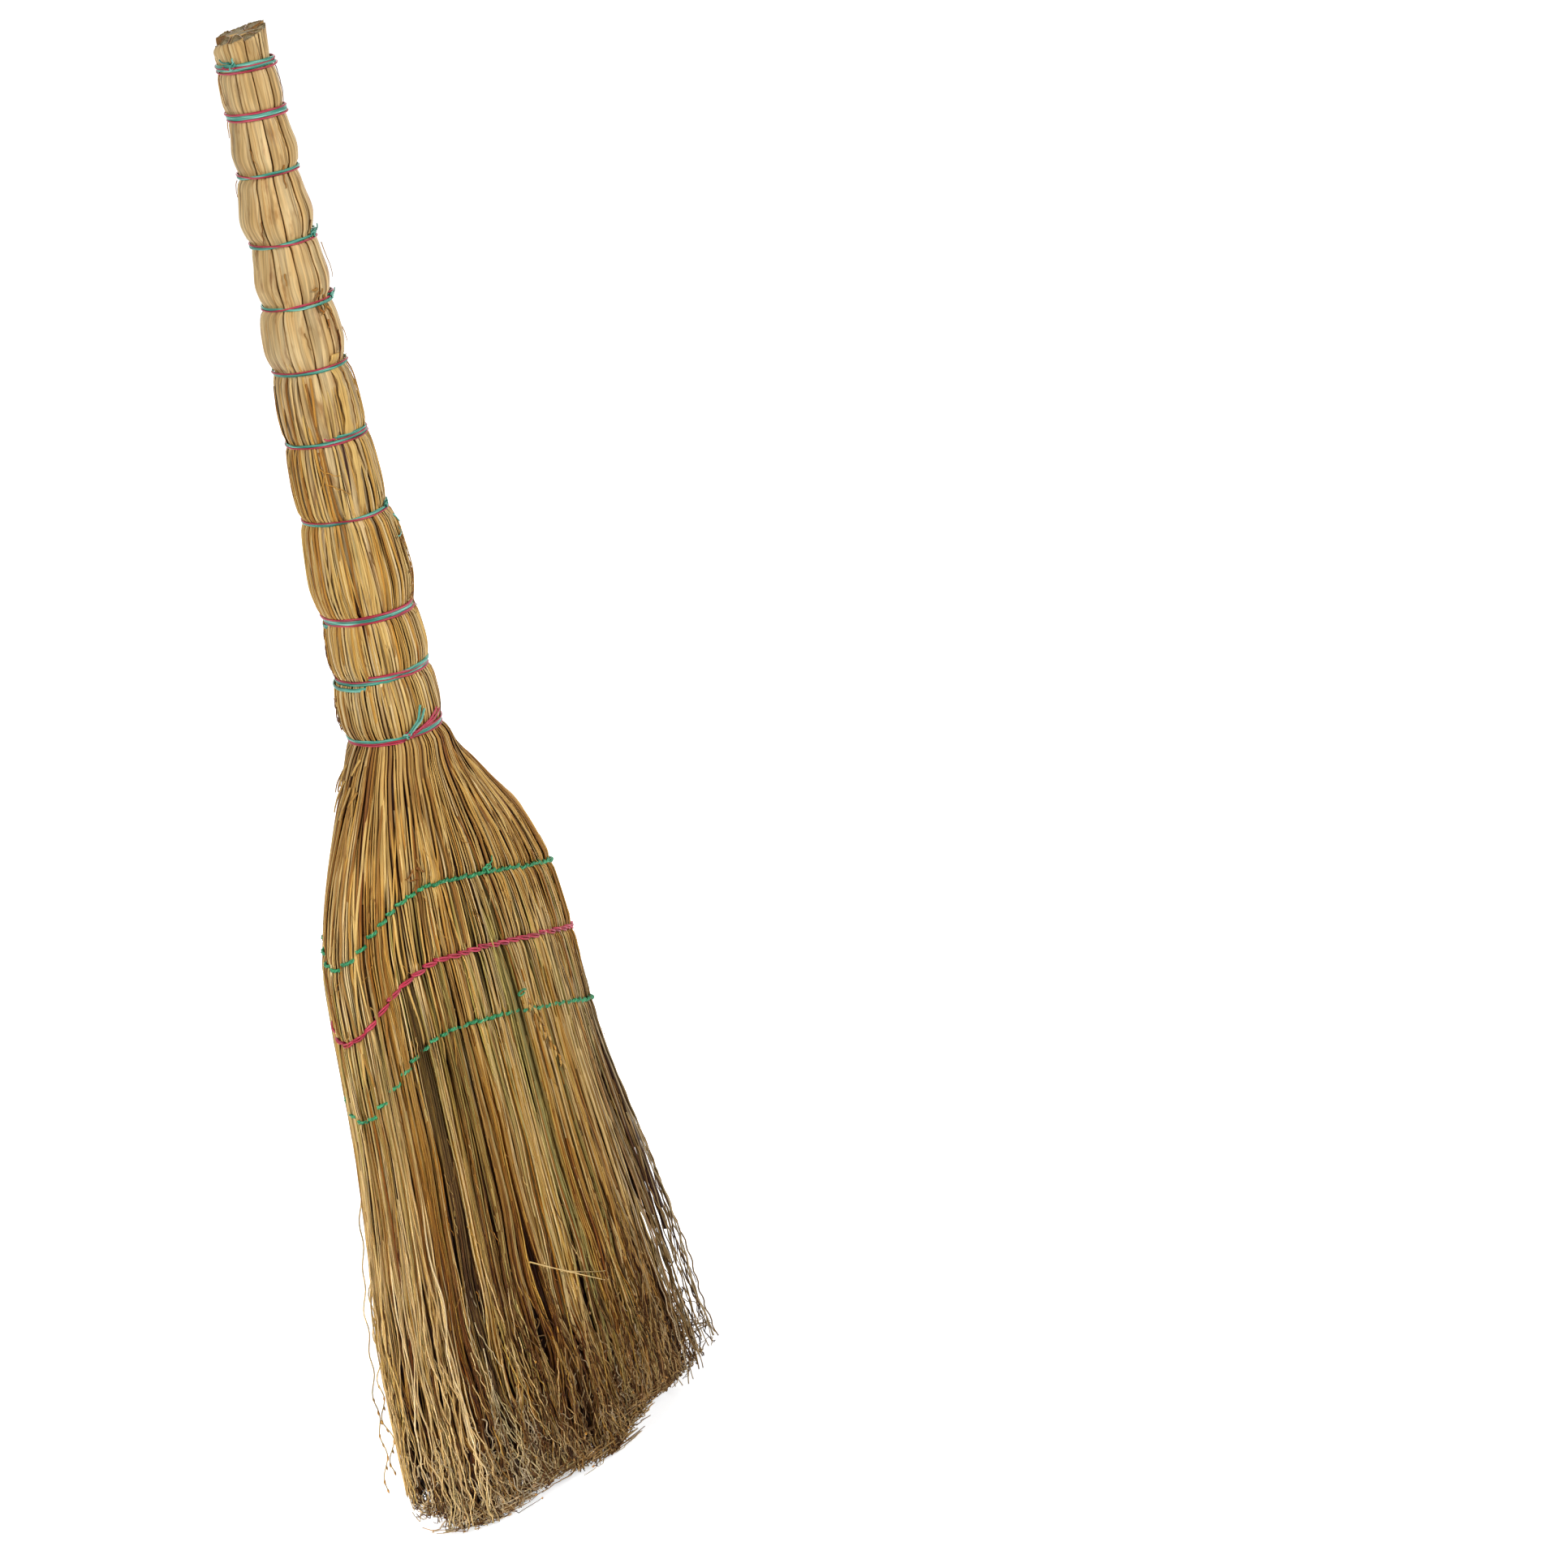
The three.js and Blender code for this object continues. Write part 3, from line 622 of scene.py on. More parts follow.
low_middle = group_middle[:, strip_row] % 1
usual_tones, tone_chances = [0.3, 0.38, 0.44, 0.52, 0.6, 0.86], [0.03, 0.09, 0.28, 0.34, 0.18, 0.08]
group_tone = rng.choice(usual_tones, size=group_count, p=tone_chances)
facing = 2 * math.pi * low_middle
group_across = np.cos(facing)
light_places, lights = [-1, -0.8, -0.66, -0.4, -0.1, 0.4, 1], [0.96, 0.96, 0.88, 0.92, 1, 0.97, 0.9]
group_light = rng.uniform(0.9, 1.08, group_count) * np.interp(group_across, light_places, lights)
group_light[group_tone > 0.8] *= 0.8
right_end = np.maximum(np.cos(facing), 0) ** 4
left_end = np.maximum(-np.cos(facing), 0) ** 6
group_gap += 0.16 * right_end + 0.1 * left_end
group_age = 0.85 * np.maximum(np.cos(facing + 0.12), 0) ** 4
dark_strip = np.abs(low_middle - share_of(227, strip_height)) < 0.0085
group_age[dark_strip], group_light[dark_strip], group_tone[dark_strip] = 0.55, 0.5, 0.84
tones_seen = ((216, 0.34), (212, 0.42), (205, 0.6), (198, 0.62), (190, 0.62), (182, 0.6), (240, 0.5), (245, 0.42),
              (250, 0.34), (256, 0.45), (262, 0.74), (267, 0.6), (272, 0.78), (278, 0.42))
for angle, tone in tones_seen:
    group_tone[int(np.argmin(np.abs(low_middle - share_of(angle, strip_height))))] = tone
left_part = (low_middle > share_of(140, strip_height)) & (low_middle < share_of(208, strip_height))
group_tone[left_part] = rng.uniform(0.5, 0.66, int(left_part.sum()))
print("groups in the grey strip:", int(dark_strip.sum()))

# %% Straws of each group
member_rows = []
for g in range(group_count):
    starts = [group_begin[g], *rng.uniform(415, 475, rng.integers(1, 3)), *rng.uniform(335, 405, rng.integers(2, 5))]
    starts = [starts[i] for i in rng.permutation(len(starts))]
    widths = []
    for start in starts:
        grow = below(levels, start, rng.uniform(30, 70))
        widths.append(rng.uniform(0.65, 1.35) * (np.maximum(grow, 1e-3) if start == group_begin[g] else grow))
    widths = np.array(widths)
    inner = np.concatenate([np.zeros((1, len(levels))), np.cumsum(widths, axis=0)]) / widths.sum(axis=0)
    shrink = group_gap[g] * (0.25 * below(levels, 470, 60) + 0.75 * below(levels, 360, 170))
    for k, start in enumerate(starts):
        low, high = (group_middle[g] + group_half[g] * (2 * inner[edge] - 1) * (1 - shrink) for edge in (k, k + 1))
        member_rows.append((g, start, low, high, inner[k] + inner[k + 1] - 1))
member_group, member_begin, member_left, member_right, member_side = (np.array(one) for one in zip(*member_rows))
print("straws in all:", len(member_rows))

# %% [markdown]
# ## Handle stalks
# Each stalk is a cane in its own leaf sheath, pressed into a wedge by its neighbours, with a nearly flat face outside.
# It could be a plain tube, but the photograph shows flat faces, rounded into dark seams, a sheath edge that runs down
# some of them, and a sawn end with spongy pith. So its ring has 33 points across the face, rounded corners and an
# inner side, and the top closes over a rim and a shallow hollow of pith. The saw went through at a slant, and the tops
# have spread and been knocked round since, so each top has its own height, bevel and lean.

# %% Rings of one stalk
stalk_foot = 431.3
stalk_levels = 170
face_places = np.linspace(-1, 1, 33)
inner_places = ((0.98, 0.3), (0.86, 0.8), (0.4, 1.0), (-0.4, 1.0), (-0.86, 0.8), (-0.98, 0.3))
top_cut = 856.2 + np.array([0.4, -0.5, 0.0, -3.8, 0.0, 0.5, -0.4, 0.3, -0.3])
top_part = 14
bevel = np.array([0.6, 0.5, 0.4, 0.8, 1.4, 1.2, 1.2, 1.0, 0.6])
lean_in = np.array([0, 0, 1.0, 5.5, 5.0, 0.6, 0, 0, 0])
sheath_edge = np.array([0.3, -0.4, 0.2, -0.3, 0.62, -0.55, 0.35, 0.1, -0.45])


def stalk_section(number, own, height, left, right):
    """Places round one stalk, how deep they lie, and their painted shade: 33 across the face and 6 on the inner side.
    """
    _, radius, _ = outline(height)
    seam = np.clip(0.5 + waves(own, 1, height, (47, 17), (0.3, 0.14))[0], 0.05, 0.95)
    creases = [c + waves(own, 1, height, (150, 60), (0.12, 0.05))[0] for c in own.uniform(-0.85, 0.85, 3)]
    strength = [np.clip(waves(own, 1, height, (70, 31), (0.5, 0.3))[0] + 0.35, 0, 1) for _ in creases]
    width = (right - left) * 2 * math.pi * radius
    gap = np.minimum(0.35 / np.maximum(width, 1.0), 0.12)
    flat = np.minimum(width**2 / (8 * radius), 3.0) * 0.45
    edge_line = sheath_edge[number] + waves(own, 1, height, (170, 70), (0.1, 0.05))[0]
    share_rows, inset_rows, shade_rows = [], [], []
    for t in face_places:
        share_rows.append((left + right) / 2 + (right - left) / 2 * (t * (1 - gap)))
        corner = 1.1 * abs(t) ** 11
        under = 0.3 * above(t, edge_line, 0.05)
        near_edge = bell(t - edge_line, 0.04, 0.045)
        creased = sum(bell(t, line, 0.05) * deep_here for line, deep_here in zip(creases, strength))
        inset_rows.append(flat * (1 - t * t) + corner * (0.6 + 0.6 * seam) + under + 0.3 * creased)
        # Painted shade: darker in the seams at the face's two edges, beside the sheath edge and in the creases.
        shade_rows.append((1 - seam * abs(t) ** 30) * (1 - 0.35 * near_edge) * (1 - 0.3 * np.minimum(creased, 1)))
    for t, depth_share in inner_places:
        share_rows.append((left + right) / 2 + (right - left) / 2 * t * 0.93)
        inset_rows.append(radius * 0.6 * depth_share)
        # The inner side is painted dark as shade, less so near the top.
        shade_rows.append(np.interp(height, [838, 848], [0.15, 0.5]))
    return (np.stack(rows, axis=-1) for rows in (share_rows, inset_rows, shade_rows))


def stalk_rings(number):
    """Rings of one stalk, from its hidden foot to the hollow in its sawn top, and the painted shade of each point."""
    own = np.random.default_rng(100 + number)
    height = np.linspace(stalk_foot, top_cut[number], stalk_levels)
    left, right = (np.interp(height, levels, row) for row in stalk_rows[number])
    middle = (stalk_edges[number] + stalk_edges[number + 1]) / 720
    half = (stalk_edges[number + 1] - stalk_edges[number]) / 720
    dive = below((right - left) / (2 * half), 0.3, 0.28)
    left = left * (1 - dive) + (middle - half * 0.9) * dive
    right = right * (1 - dive) + (middle + half * 0.9) * dive
    _, radius, _ = outline(height)
    deep = 2.4 + 5.1 * np.clip((704 - height) / 250, 0, 1)
    lift = waves(own, 1, height, (150, 60, 22), (0.3, 0.14, 0.05))[0]
    share, inset, shade = stalk_section(number, own, height, left, right)
    inset = inset + (groove(share[:, len(face_places) // 2], height) * (1 - dive) + deep * dive - lift)[:, None]
    level = np.broadcast_to(height[:, None], share.shape).copy()
    outer = np.clip(1 - inset / (radius * 0.6)[:, None], 0, 1)
    near_top = np.clip((height - (top_cut[number] - top_part)) / top_part, 0, 1)[:, None]
    toward_left = np.array([*(0.5 - 0.5 * face_places), 0, 0, 0.3, 0.7, 1, 1])
    if number < 4:
        toward_left = 1 - toward_left
    level -= bevel[number] * outer * near_top * (0.25 + 0.75 * toward_left)
    inset = inset + lean_in[number] * outer * near_top**4 * toward_left
    to_front = outer * np.cos(2 * math.pi * share - math.radians(camera_side))
    to_right = outer * np.cos(2 * math.pi * share - math.radians(camera_side + 90))
    level -= near_top * (1.4 * (1 + to_front) + 2.5 * (1 - to_right))
    level += own.uniform(-0.25, 0.25, level.shape) * near_top
    point, _ = surface(share, level, inset)
    centre = point[-1].mean(axis=0)
    spoke = point[-1] - centre
    rim = centre + spoke * [0.9, 0.9, 0.96]
    hollow = centre + spoke * [0.85, 0.85, 0.9] - [0, 0, 0.8]
    heart = centre + spoke * [0.4, 0.4, 0.4] - [0, 0, 0.4]
    # The rim and the hollow of the sawn top are painted darker, as the shade in the gaps between tops and in the
    # hollow.
    lid_shade = np.repeat([[0.6], [0.75], [1.0]], shade.shape[1], axis=1)
    return np.concatenate([point, [rim, hollow, heart]]), np.concatenate([shade, lid_shade])


# %% The nine stalks, and the two at the heart
stalk_tones = [0.5, 0.6, 0.45, 0.55, 0.6, 0.56, 0.52, 0.6, 0.72]
core_stands_up = 2.4
for number in range(9):
    rings, shade = stalk_rings(number)
    part = strands(rings[None], tone=stalk_tones[number], shade=shade[None], cut_finish=1, cut_rings=2)
    node = f"stalk_{number + 1:02d}"
    make_piece(f"{node}_cane", [part], [stalk_skin, pith], "stalk_straw", node, seed=number)

for number in (1, 2):
    node = f"core_stalk_{number:02d}"
    low, high = (np.array(corner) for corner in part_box(node))
    centre, half = (low + high) / 2 / mm, (high - low) / 2 / mm
    height = np.linspace(low[2] / mm, high[2] / mm + core_stands_up, 60)
    path = np.stack([np.full(60, centre[0]), np.full(60, centre[1]), height], axis=-1)
    out = np.broadcast_to([0.0, -1.0, 0.0], path.shape)
    part = one_strand(path, out, half[0], half[1], sides=8, tone=0.5, cut_finish=1, cut_rings=0)
    make_piece(f"{node}_cane", [part], [stalk_skin, pith], "stalk_pith", node)

# %% [markdown]
# ## Straws
# The straws lie over the stalks from the fifth band down, run through the neck and fan out into the head. Each is a
# flattened stem with a rounded outer face, so that two side by side leave a dark seam, and its edges are painted
# darker as well. Curves with a bevel would give round rods with holes between them. Here each straw takes its left and
# right edge from the ring instead, and follows the outline, the bite of the bands and the grooves of the stitch rows.
# Below the rows it narrows and lets the fibres show between.

# %% Where each straw runs
straw_places = np.array([-1.0, -0.9, -0.5, 0.0, 0.5, 0.9, 1.0, 0.0])
straw_round = np.array([0.25, 0.76, 0.96, 1.0, 0.96, 0.76, 0.25, -0.6])
# Painted shade: each straw darkens towards its two edges, where it meets the seam.
straw_shade = np.array([0.06, 0.6, 0.98, 1.0, 0.98, 0.6, 0.06, 0.0])
own = np.random.default_rng(21)
straw_count = len(member_group)
each_straw = (straw_count, 1)
straw_end = own.uniform(120, 235, straw_count)
straw_end += np.maximum(240 - straw_end, 0) * right_end[member_group] * 0.9
straw_height = member_begin[:, None] + (straw_end - member_begin)[:, None] * np.linspace(0, 1, 120)


def along(rows, heights):
    """Each row's value at its own heights."""
    return np.array([np.interp(z, levels, row) for z, row in zip(heights, rows)])


left, right, side_place = (along(rows, straw_height) for rows in (member_left, member_right, member_side))
middle = (left + right) / 2
half = (right - left) / 2
slim = (1 - 0.3 * below(straw_height, 250, 100)) * (1 - 0.75 * below(straw_height, straw_end[:, None] + 40, 40))
overlap = np.where(own.uniform(size=each_straw) < 0.12, 1.15, 0.97)
lifted = np.where(overlap > 1, 0.35, 0.0)
neck_gap = 1 - 0.52 * own.random(each_straw) ** 2.4 * above(straw_height, 300, 60)
half = half * slim * overlap * neck_gap
width = half * 2 * girth(straw_height)
straw_thick = np.clip(0.4 * width + 0.25, 0.3, 1.3)
lift = waves(own, straw_count, straw_height, (130, 47), (0.25, 0.12)) + lifted
lift = lift - own.exponential(0.25, each_straw) * (1 + 1.6 * below(straw_height, 450, 30))
hidden = 1.4 * (1 - below(straw_height, member_begin[:, None], 30))
below_rows = below(straw_height, 410, 70)
bundle_round = 1.5 * below_rows * np.abs(side_place) ** 4
sink = 2.6 * below(straw_height, straw_end[:, None] + 28, 28) * own.uniform(0.5, 1, each_straw)
wobble = waves(own, straw_count, straw_height, (80, 33), (0.35, 0.2)) * below(straw_height, 300, 200)
wobble += waves(own, straw_count, straw_height, (210, 90), (0.2, 0.1))
group_wobble = waves(own, group_count, straw_height, (190, 110), (0.9, 0.4), rows=member_group)
wobble += group_wobble * below(straw_height, 380, 160)
straw_share = (middle + wobble / girth(straw_height))[:, :, None] + half[:, :, None] * straw_places
straw_inset = (groove(middle, straw_height) - lift + hidden + sink + bundle_round)[:, :, None]
straw_inset = straw_inset + straw_thick[:, :, None] * (1 - straw_round)
straw_points, _ = surface(straw_share, straw_height[:, :, None], straw_inset)
print("straws:", straw_count, "mean width", round(float(width.mean()), 2), "mm")

# %% Hue, age and light of the straws
# Each straw has its group's tone, with some strangers among them. They pale towards the neck. Stains are given by
# height, angle, and how tall and wide they are.
straw_tone = np.where(own.uniform(size=straw_count) < 0.86, group_tone[member_group],
                      own.uniform(0.15, 0.85, straw_count))
straw_tone = straw_tone + own.normal(0, 0.05, straw_count)
straw_tone = np.broadcast_to(straw_tone[:, None], straw_height.shape)
straw_tone = straw_tone + waves(own, straw_count, straw_height, (160,), (0.05,))
pale = above(straw_height, 340, 70)
in_handle = above(straw_height, 440, 40)
up_handle = above(straw_height, 445, 40)
neck_tone = 0.56 + own.normal(0, 0.1, each_straw) * (1 - 0.5 * in_handle)
straw_tone = straw_tone * (1 - 0.8 * pale) + 0.8 * pale * neck_tone + 0.11 * up_handle
straw_tone = straw_tone + 0.15 * bell(straw_height, 295, 60)
stains = [(440, 283, 14, 2.2), (402, 200, 40, 3.0), (395, 238, 20, 2.0), (330, 208, 30, 3.0), (640, 300, 60, 2.5),
          (560, 262, 35, 2.0)]
for z, angle, tall, wide in stains:
    aside = (middle - share_of(angle, z) + 0.5) % 1 - 0.5
    near = (straw_height - z) ** 2 / tall**2 + aside**2 * girth(straw_height) ** 2 / wide**2
    straw_tone = straw_tone - 0.34 * np.exp(-near)
straw_age = group_age[member_group, None] * below(straw_height, 330, 120) * own.uniform(0.6, 1.2, each_straw)
straw_age = np.clip(straw_age, 0, 1)
to_right = above(np.cos(2 * math.pi * (middle - 0.79)), 0.2, 0.8) * below(straw_height, 440, 90)
# Painted light and shade: about one straw in eight is dimmed as if it lay in shade, the middle of the head and the
# handle are painted lighter, the right side a little darker, and the deeper a straw lies, the darker it is painted.
straw_dim = either(own, each_straw, 0.13, (0.35, 0.7), (0.88, 1.06))
straw_dim = 1 - (1 - straw_dim) * (1 - 0.6 * in_handle)
straw_dim = straw_dim * (1 + 0.22 * bell(straw_height, 300, 60) + 0.15 * up_handle)
straw_light = (group_light[member_group, None] * 1.08) ** (1 - pale) * straw_dim
straw_light = straw_light * (1 - 0.04 * to_right) * (1 - 0.1 * pale)
buried = np.maximum(hidden + sink + 0.6 * bundle_round - lift, 0)
straw_painted_light = np.clip(np.clip(1.04 - 0.22 * buried, 0.08, 1) * straw_light, 0, 1)
print("light of the straws from", round(float(straw_painted_light.min()), 2), "to", round(float(straw_painted_light.max()), 2))

# %% Straws that lie across the others
# They leave the neck a little askew, as the last ones laid on do, and break up the order below them.
over_count = 320
each_over = (over_count, 1)
over_low = own.random(over_count) < 0.68
over_top = np.where(over_low, own.uniform(405, 450, over_count), own.uniform(560, 690, over_count))
low_foot = own.choice([375, 365, 330, 270], over_count) + own.uniform(-12, 8, over_count)
over_foot = np.where(over_low, low_foot, own.uniform(440, 520, over_count))
over_height = over_top[:, None] + (over_foot - over_top)[:, None] * np.linspace(0, 1, 60)
over_share = own.uniform(0, 1, each_over)
skew = own.normal(0, 7, each_over) * np.where(over_low, 1, 0.3)[:, None]
over_run = (over_top[:, None] - over_height) / 150
over_drift = skew * over_run / girth(np.maximum(over_height, 200))
over_drift = over_drift + waves(own, over_count, over_height, (150, 50), (0.7, 0.25)) / girth(over_height)
ends_under = 2.2 * (1 - below(over_height, over_top[:, None], 22))
ends_under = ends_under + 2.2 * (1 - above(over_height, over_foot[:, None], 22))
over_width = own.uniform(0.45, 0.85, each_over) * (1 + 0.1 * waves(own, over_count, over_height, (60,), (1,)))
over_inset = groove(over_share + over_drift, over_height) * 1.8 + ends_under - 0.1 * over_width
over_path, over_out = surface(over_share + over_drift, over_height, over_inset)
over_rings = sweep(over_path, over_out, over_width, over_width * 0.6, sides=6)
over_tone = own.choice([0.3, 0.42, 0.5, 0.58, 0.64], size=over_count, p=[0.06, 0.2, 0.3, 0.26, 0.18])
print("straws laid across:", over_count)

# %% The ten straw bunches
bunch_count = 10
neck_place = along((member_left + member_right) / 2, np.full(each_straw, 330.0))[:, 0] % 1
for bunch in range(bunch_count):
    chosen = np.flatnonzero((neck_place * bunch_count).astype(int) == bunch)
    across_ones = np.flatnonzero((over_share[:, 0] * bunch_count).astype(int) == bunch)
    chosen_shade = straw_painted_light[chosen][:, :, None] * straw_shade
    sets = [strands(straw_points[chosen], straw_tone[chosen], chosen_shade, straw_age[chosen]),
            strands(over_rings[across_ones], over_tone[across_ones], own.choice([1.0, 0.95, 0.55], len(across_ones)))]
    node = f"straw_bunch_{bunch + 1:02d}"
    make_piece(f"{node}_stems", sets, [straw_skin], "bunch_straw", node, seed=30 + bunch)

# %% [markdown]
# ## The packing inside
# Between the outer straws you see more straws, never daylight. A second, deeper layer of round straws fills the head
# and the lower half of the handle. It is painted nearly black, as the shade that no light reaches. It needs few sides,
# because only slivers of it show.

# %% Deeper straws of the head and the handle
own = np.random.default_rng(41)
count = 330
share = own.uniform(0, 1, (count, 1))
height = np.linspace(0, 1, 40) * (own.uniform(80, 170, (count, 1)) - 444) + 444
depth_under = own.uniform(2.4, 5.0, (count, 1)) + 9 * own.uniform(0, 1, (count, 1)) ** 2
drift = waves(own, count, height, (160, 60), (3.0, 1.2)) / girth(height)
path, out = surface(share + drift, height, depth_under * (1 - 0.6 * above(height, 400, 60)) + 0.5)
rings = sweep(path, out, np.full(path.shape[:2], 1.5), np.full(path.shape[:2], 1.2), sides=5)
# Low shade values paint these straws dark as shade.
head_part = strands(rings, tone=own.uniform(0.05, 0.7, count), shade=own.uniform(0.0, 0.2, count))

count = 150
top = own.uniform(590, 700, (count, 1))
height = 436 + (top - 436) * np.linspace(0, 1, 50)
share = (np.arange(count)[:, None] + own.uniform(-0.4, 0.4, (count, 1))) / count
share = share + waves(own, count, height, (120, 50), (0.9, 0.4)) / girth(height)
inset = groove(share, height) * 1.4 + own.uniform(2.0, 4.2, (count, 1)) + 2.5 * ease((height - top + 30) / 30)
path, out = surface(share, height, inset)
rings = sweep(path, out, np.full(path.shape[:2], 1.3), np.full(path.shape[:2], 0.9), sides=5)
handle_part = strands(rings, tone=own.uniform(0.05, 0.7, count), shade=own.uniform(0.02, 0.3, count))
make_piece("inner_straws", [head_part, handle_part], [straw_skin], "bunch_straw", seed=42)

# %% [markdown]
# ## Fibres
# Below the stitches each straw splits into fine branches. They hang almost straight at first, gather into wisps with
# dark gaps between, and turn wavy and curly towards the worn tips. A particle hair system can't be exported as solid
# strands, so each fibre is a thin closed tube of three sides. Three wisps to a group of straws draw the fibres
# together, and more so at the two ends of the brush, where daylight shows through.

# %% How high the tips stand round the foot
foot_degrees = [0, 60, 120, 160, 178, 192, 205, 214, 226, 238, 246, 254, 263, 272, 279, 290, 304, 330, 360]
foot_clearances = [4, 4, 9, 20, 14, 7, 1.5, 1.0, 4, 9, 8, 3, 0.8, 10, 17, 13, 10, 5, 4]


def foot_height(share):
    """Worn by its sweeping side, the brush touches the floor in two places and clears it elsewhere."""
    degrees = np.degrees(angle_at(np.asarray(share, float), 0.36)) % 360
    return np.interp(degrees, foot_degrees, foot_clearances)


def openness(share):
    """0 where the brush is dense, 1 where its front right corner has worn so thin that daylight shows through."""
    across = across_at(share, np.full(np.shape(share), 120.0))
    toward = 89 * across + 34 * np.sqrt(np.maximum(1 - across**2, 0)) * np.sign(np.mod(share, 1) - 0.5)
    return above(toward, 64, 16)


print("tips clear the floor by up to", round(float(foot_height(np.linspace(0, 1, 200)).max())), "mm")

# %% Wisps and main fibres
# Fibres from 0 to 7 of a wisp lie near the surface, and the others deeper. In the open corner most are taken out, and
# half of those stand further back, as the wall that closes the corner from inside.
own = np.random.default_rng(51)
wisps_each, fibres_each, fibre_rings, near_ones = 3, 12, 42, 8
wisp_count = group_count * wisps_each
fibre_count = wisp_count * fibres_each
each_fibre = (fibre_count, 1)
fibre_wisp = np.repeat(np.arange(wisp_count), fibres_each)
fibre_group = fibre_wisp // wisps_each
order_in = (fibre_wisp % wisps_each - 1) * 0.64 + own.normal(0, 0.14, wisp_count)[fibre_wisp]
spread = own.uniform(-0.42, 0.42, fibre_count)
closing = np.maximum(own.uniform(0.0, 0.55, wisp_count)[fibre_wisp], 0.8 * right_end[fibre_group])
near_layer = np.tile(np.arange(fibres_each), wisp_count) < near_ones
sunk = either(own, wisp_count, 0.6, (-0.8, 0.5), (0.8, 2.6))[fibre_wisp]
own_depth = np.where(near_layer, own.uniform(-0.7, 0.9, fibre_count), own.uniform(1.4, 5.0, fibre_count))
group_foot = foot_height(group_middle[:, int(20 / level_step)])
wisp_foot = own.gamma(1.0, 3.0, wisp_count)
foot = group_foot[fibre_group] + wisp_foot[fibre_wisp] + own.gamma(1.1, 2.6, fibre_count)
foot = foot + np.where(own.random(fibre_count) < 0.14, own.uniform(10, 70, fibre_count), 0)
root = own.uniform(250, 345, wisp_count)[fibre_wisp] + own.uniform(-18, 18, fibre_count)
open_here = openness(group_middle[fibre_group, strip_row])
taken = own.random(fibre_count) < 0.975 * open_here
moved = taken & (own.random(fibre_count) < 0.5)
set_back = np.where(moved, 23 * open_here + own.uniform(-3, 5, fibre_count), 0)
print("main fibres:", fibre_count, "in", wisp_count, "wisps")

# %% The way of each main fibre
run = 1 - (1 - np.linspace(0, 1, fibre_rings)) ** 1.7
height = root[:, None] + (foot - root)[:, None] * run
low = below(height, 190, 170)
tangle = below(height, 70, 66)
place_in = order_in[:, None] + spread[:, None] * (1 - closing[:, None] * low)
gather = (0.06 + 0.8 * group_gap[fibre_group])[:, None] * below(height, 330, 120)
gather = gather + low * (0.3 * right_end + 0.1 * left_end)[fibre_group, None]
share = along(group_middle[fibre_group], height) + along(group_half[fibre_group], height) * place_in * (1 - gather)
sideways = waves(own, group_count, height, (190, 90), (1.6, 0.8), rows=fibre_group) * below(height, 300, 220)
sideways += waves(own, wisp_count, height, (120, 52), (1.9, 0.9), rows=fibre_wisp) * low
sideways += waves(own, fibre_count, height, (62, 27), (0.5, 0.28)) * (0.25 + 0.75 * low)
sideways += waves(own, fibre_count, height, (24, 13), (1.5, 0.9)) * tangle
askew = own.normal(0, 1, each_fibre) * np.where(own.random(each_fibre) < 0.12, 5.0, 0.8)
sideways += askew * below(height, root[:, None], 220)
sideways += own.normal(0, 3.2, each_fibre) * below(height, 45, 45) ** 1.5
inout = waves(own, wisp_count, height, (110, 48), (1.3, 0.7), rows=fibre_wisp) * low
inout += (waves(own, fibre_count, height, (50, 21), (0.4, 0.3)) * (0.2 + 0.8 * low)
          + waves(own, fibre_count, height, (19, 12), (1.2, 0.7)) * tangle)
_, _, half_depth = outline(height)
under = np.minimum(own_depth[:, None] + sunk[:, None] * low, (half_depth - 7) * 0.9)
rise = 2.2 * (1 - below(height, root[:, None], 32))
rounded = 1.4 * np.minimum(np.abs(place_in), 1.15) ** 5 * below(height, 400, 120) * (1 - 0.6 * low)
rounded += 0.5 * low * (spread[:, None] / 0.42) ** 2
inset = np.maximum(under + inout + rise + rounded, -3.0) + set_back[:, None] * below(height, root[:, None], 120)
fibre_share = share + sideways / girth(height)
bounce = waves(own, fibre_count, height, (21,), (1.4,)) * tangle
fibre_path, fibre_out = surface(fibre_share, np.maximum(height, 1.0), inset)
least = group_foot[fibre_group, None] * 0.95 + 0.4
fibre_path[..., 2] = np.maximum(fibre_path[..., 2] + bounce * (run > 0.1), least)
fibre_radius = own.uniform(0.4, 0.72, each_fibre) * (1 - 0.2 * run**2)
fibre_sweep = sweep(fibre_path, fibre_out, fibre_radius, sides=3)
print("fibre radius", round(float(fibre_radius.min()), 2), "to", round(float(fibre_radius.max()), 2), "mm")

# %% Hue, age and light of the fibres
# The tips at the left are pale and dusty. The tips in the middle are painted dark as shade, two in five fibres are
# painted as lying in shade, and the deeper a fibre lies, the darker and rustier it is painted.
fibre_tone = group_tone[fibre_group] + own.normal(0, 0.08, wisp_count)[fibre_wisp] + own.normal(0, 0.08, fibre_count)
fibre_tone = np.where(own.random(fibre_count) < 0.07, own.uniform(0.02, 0.2, fibre_count), fibre_tone)
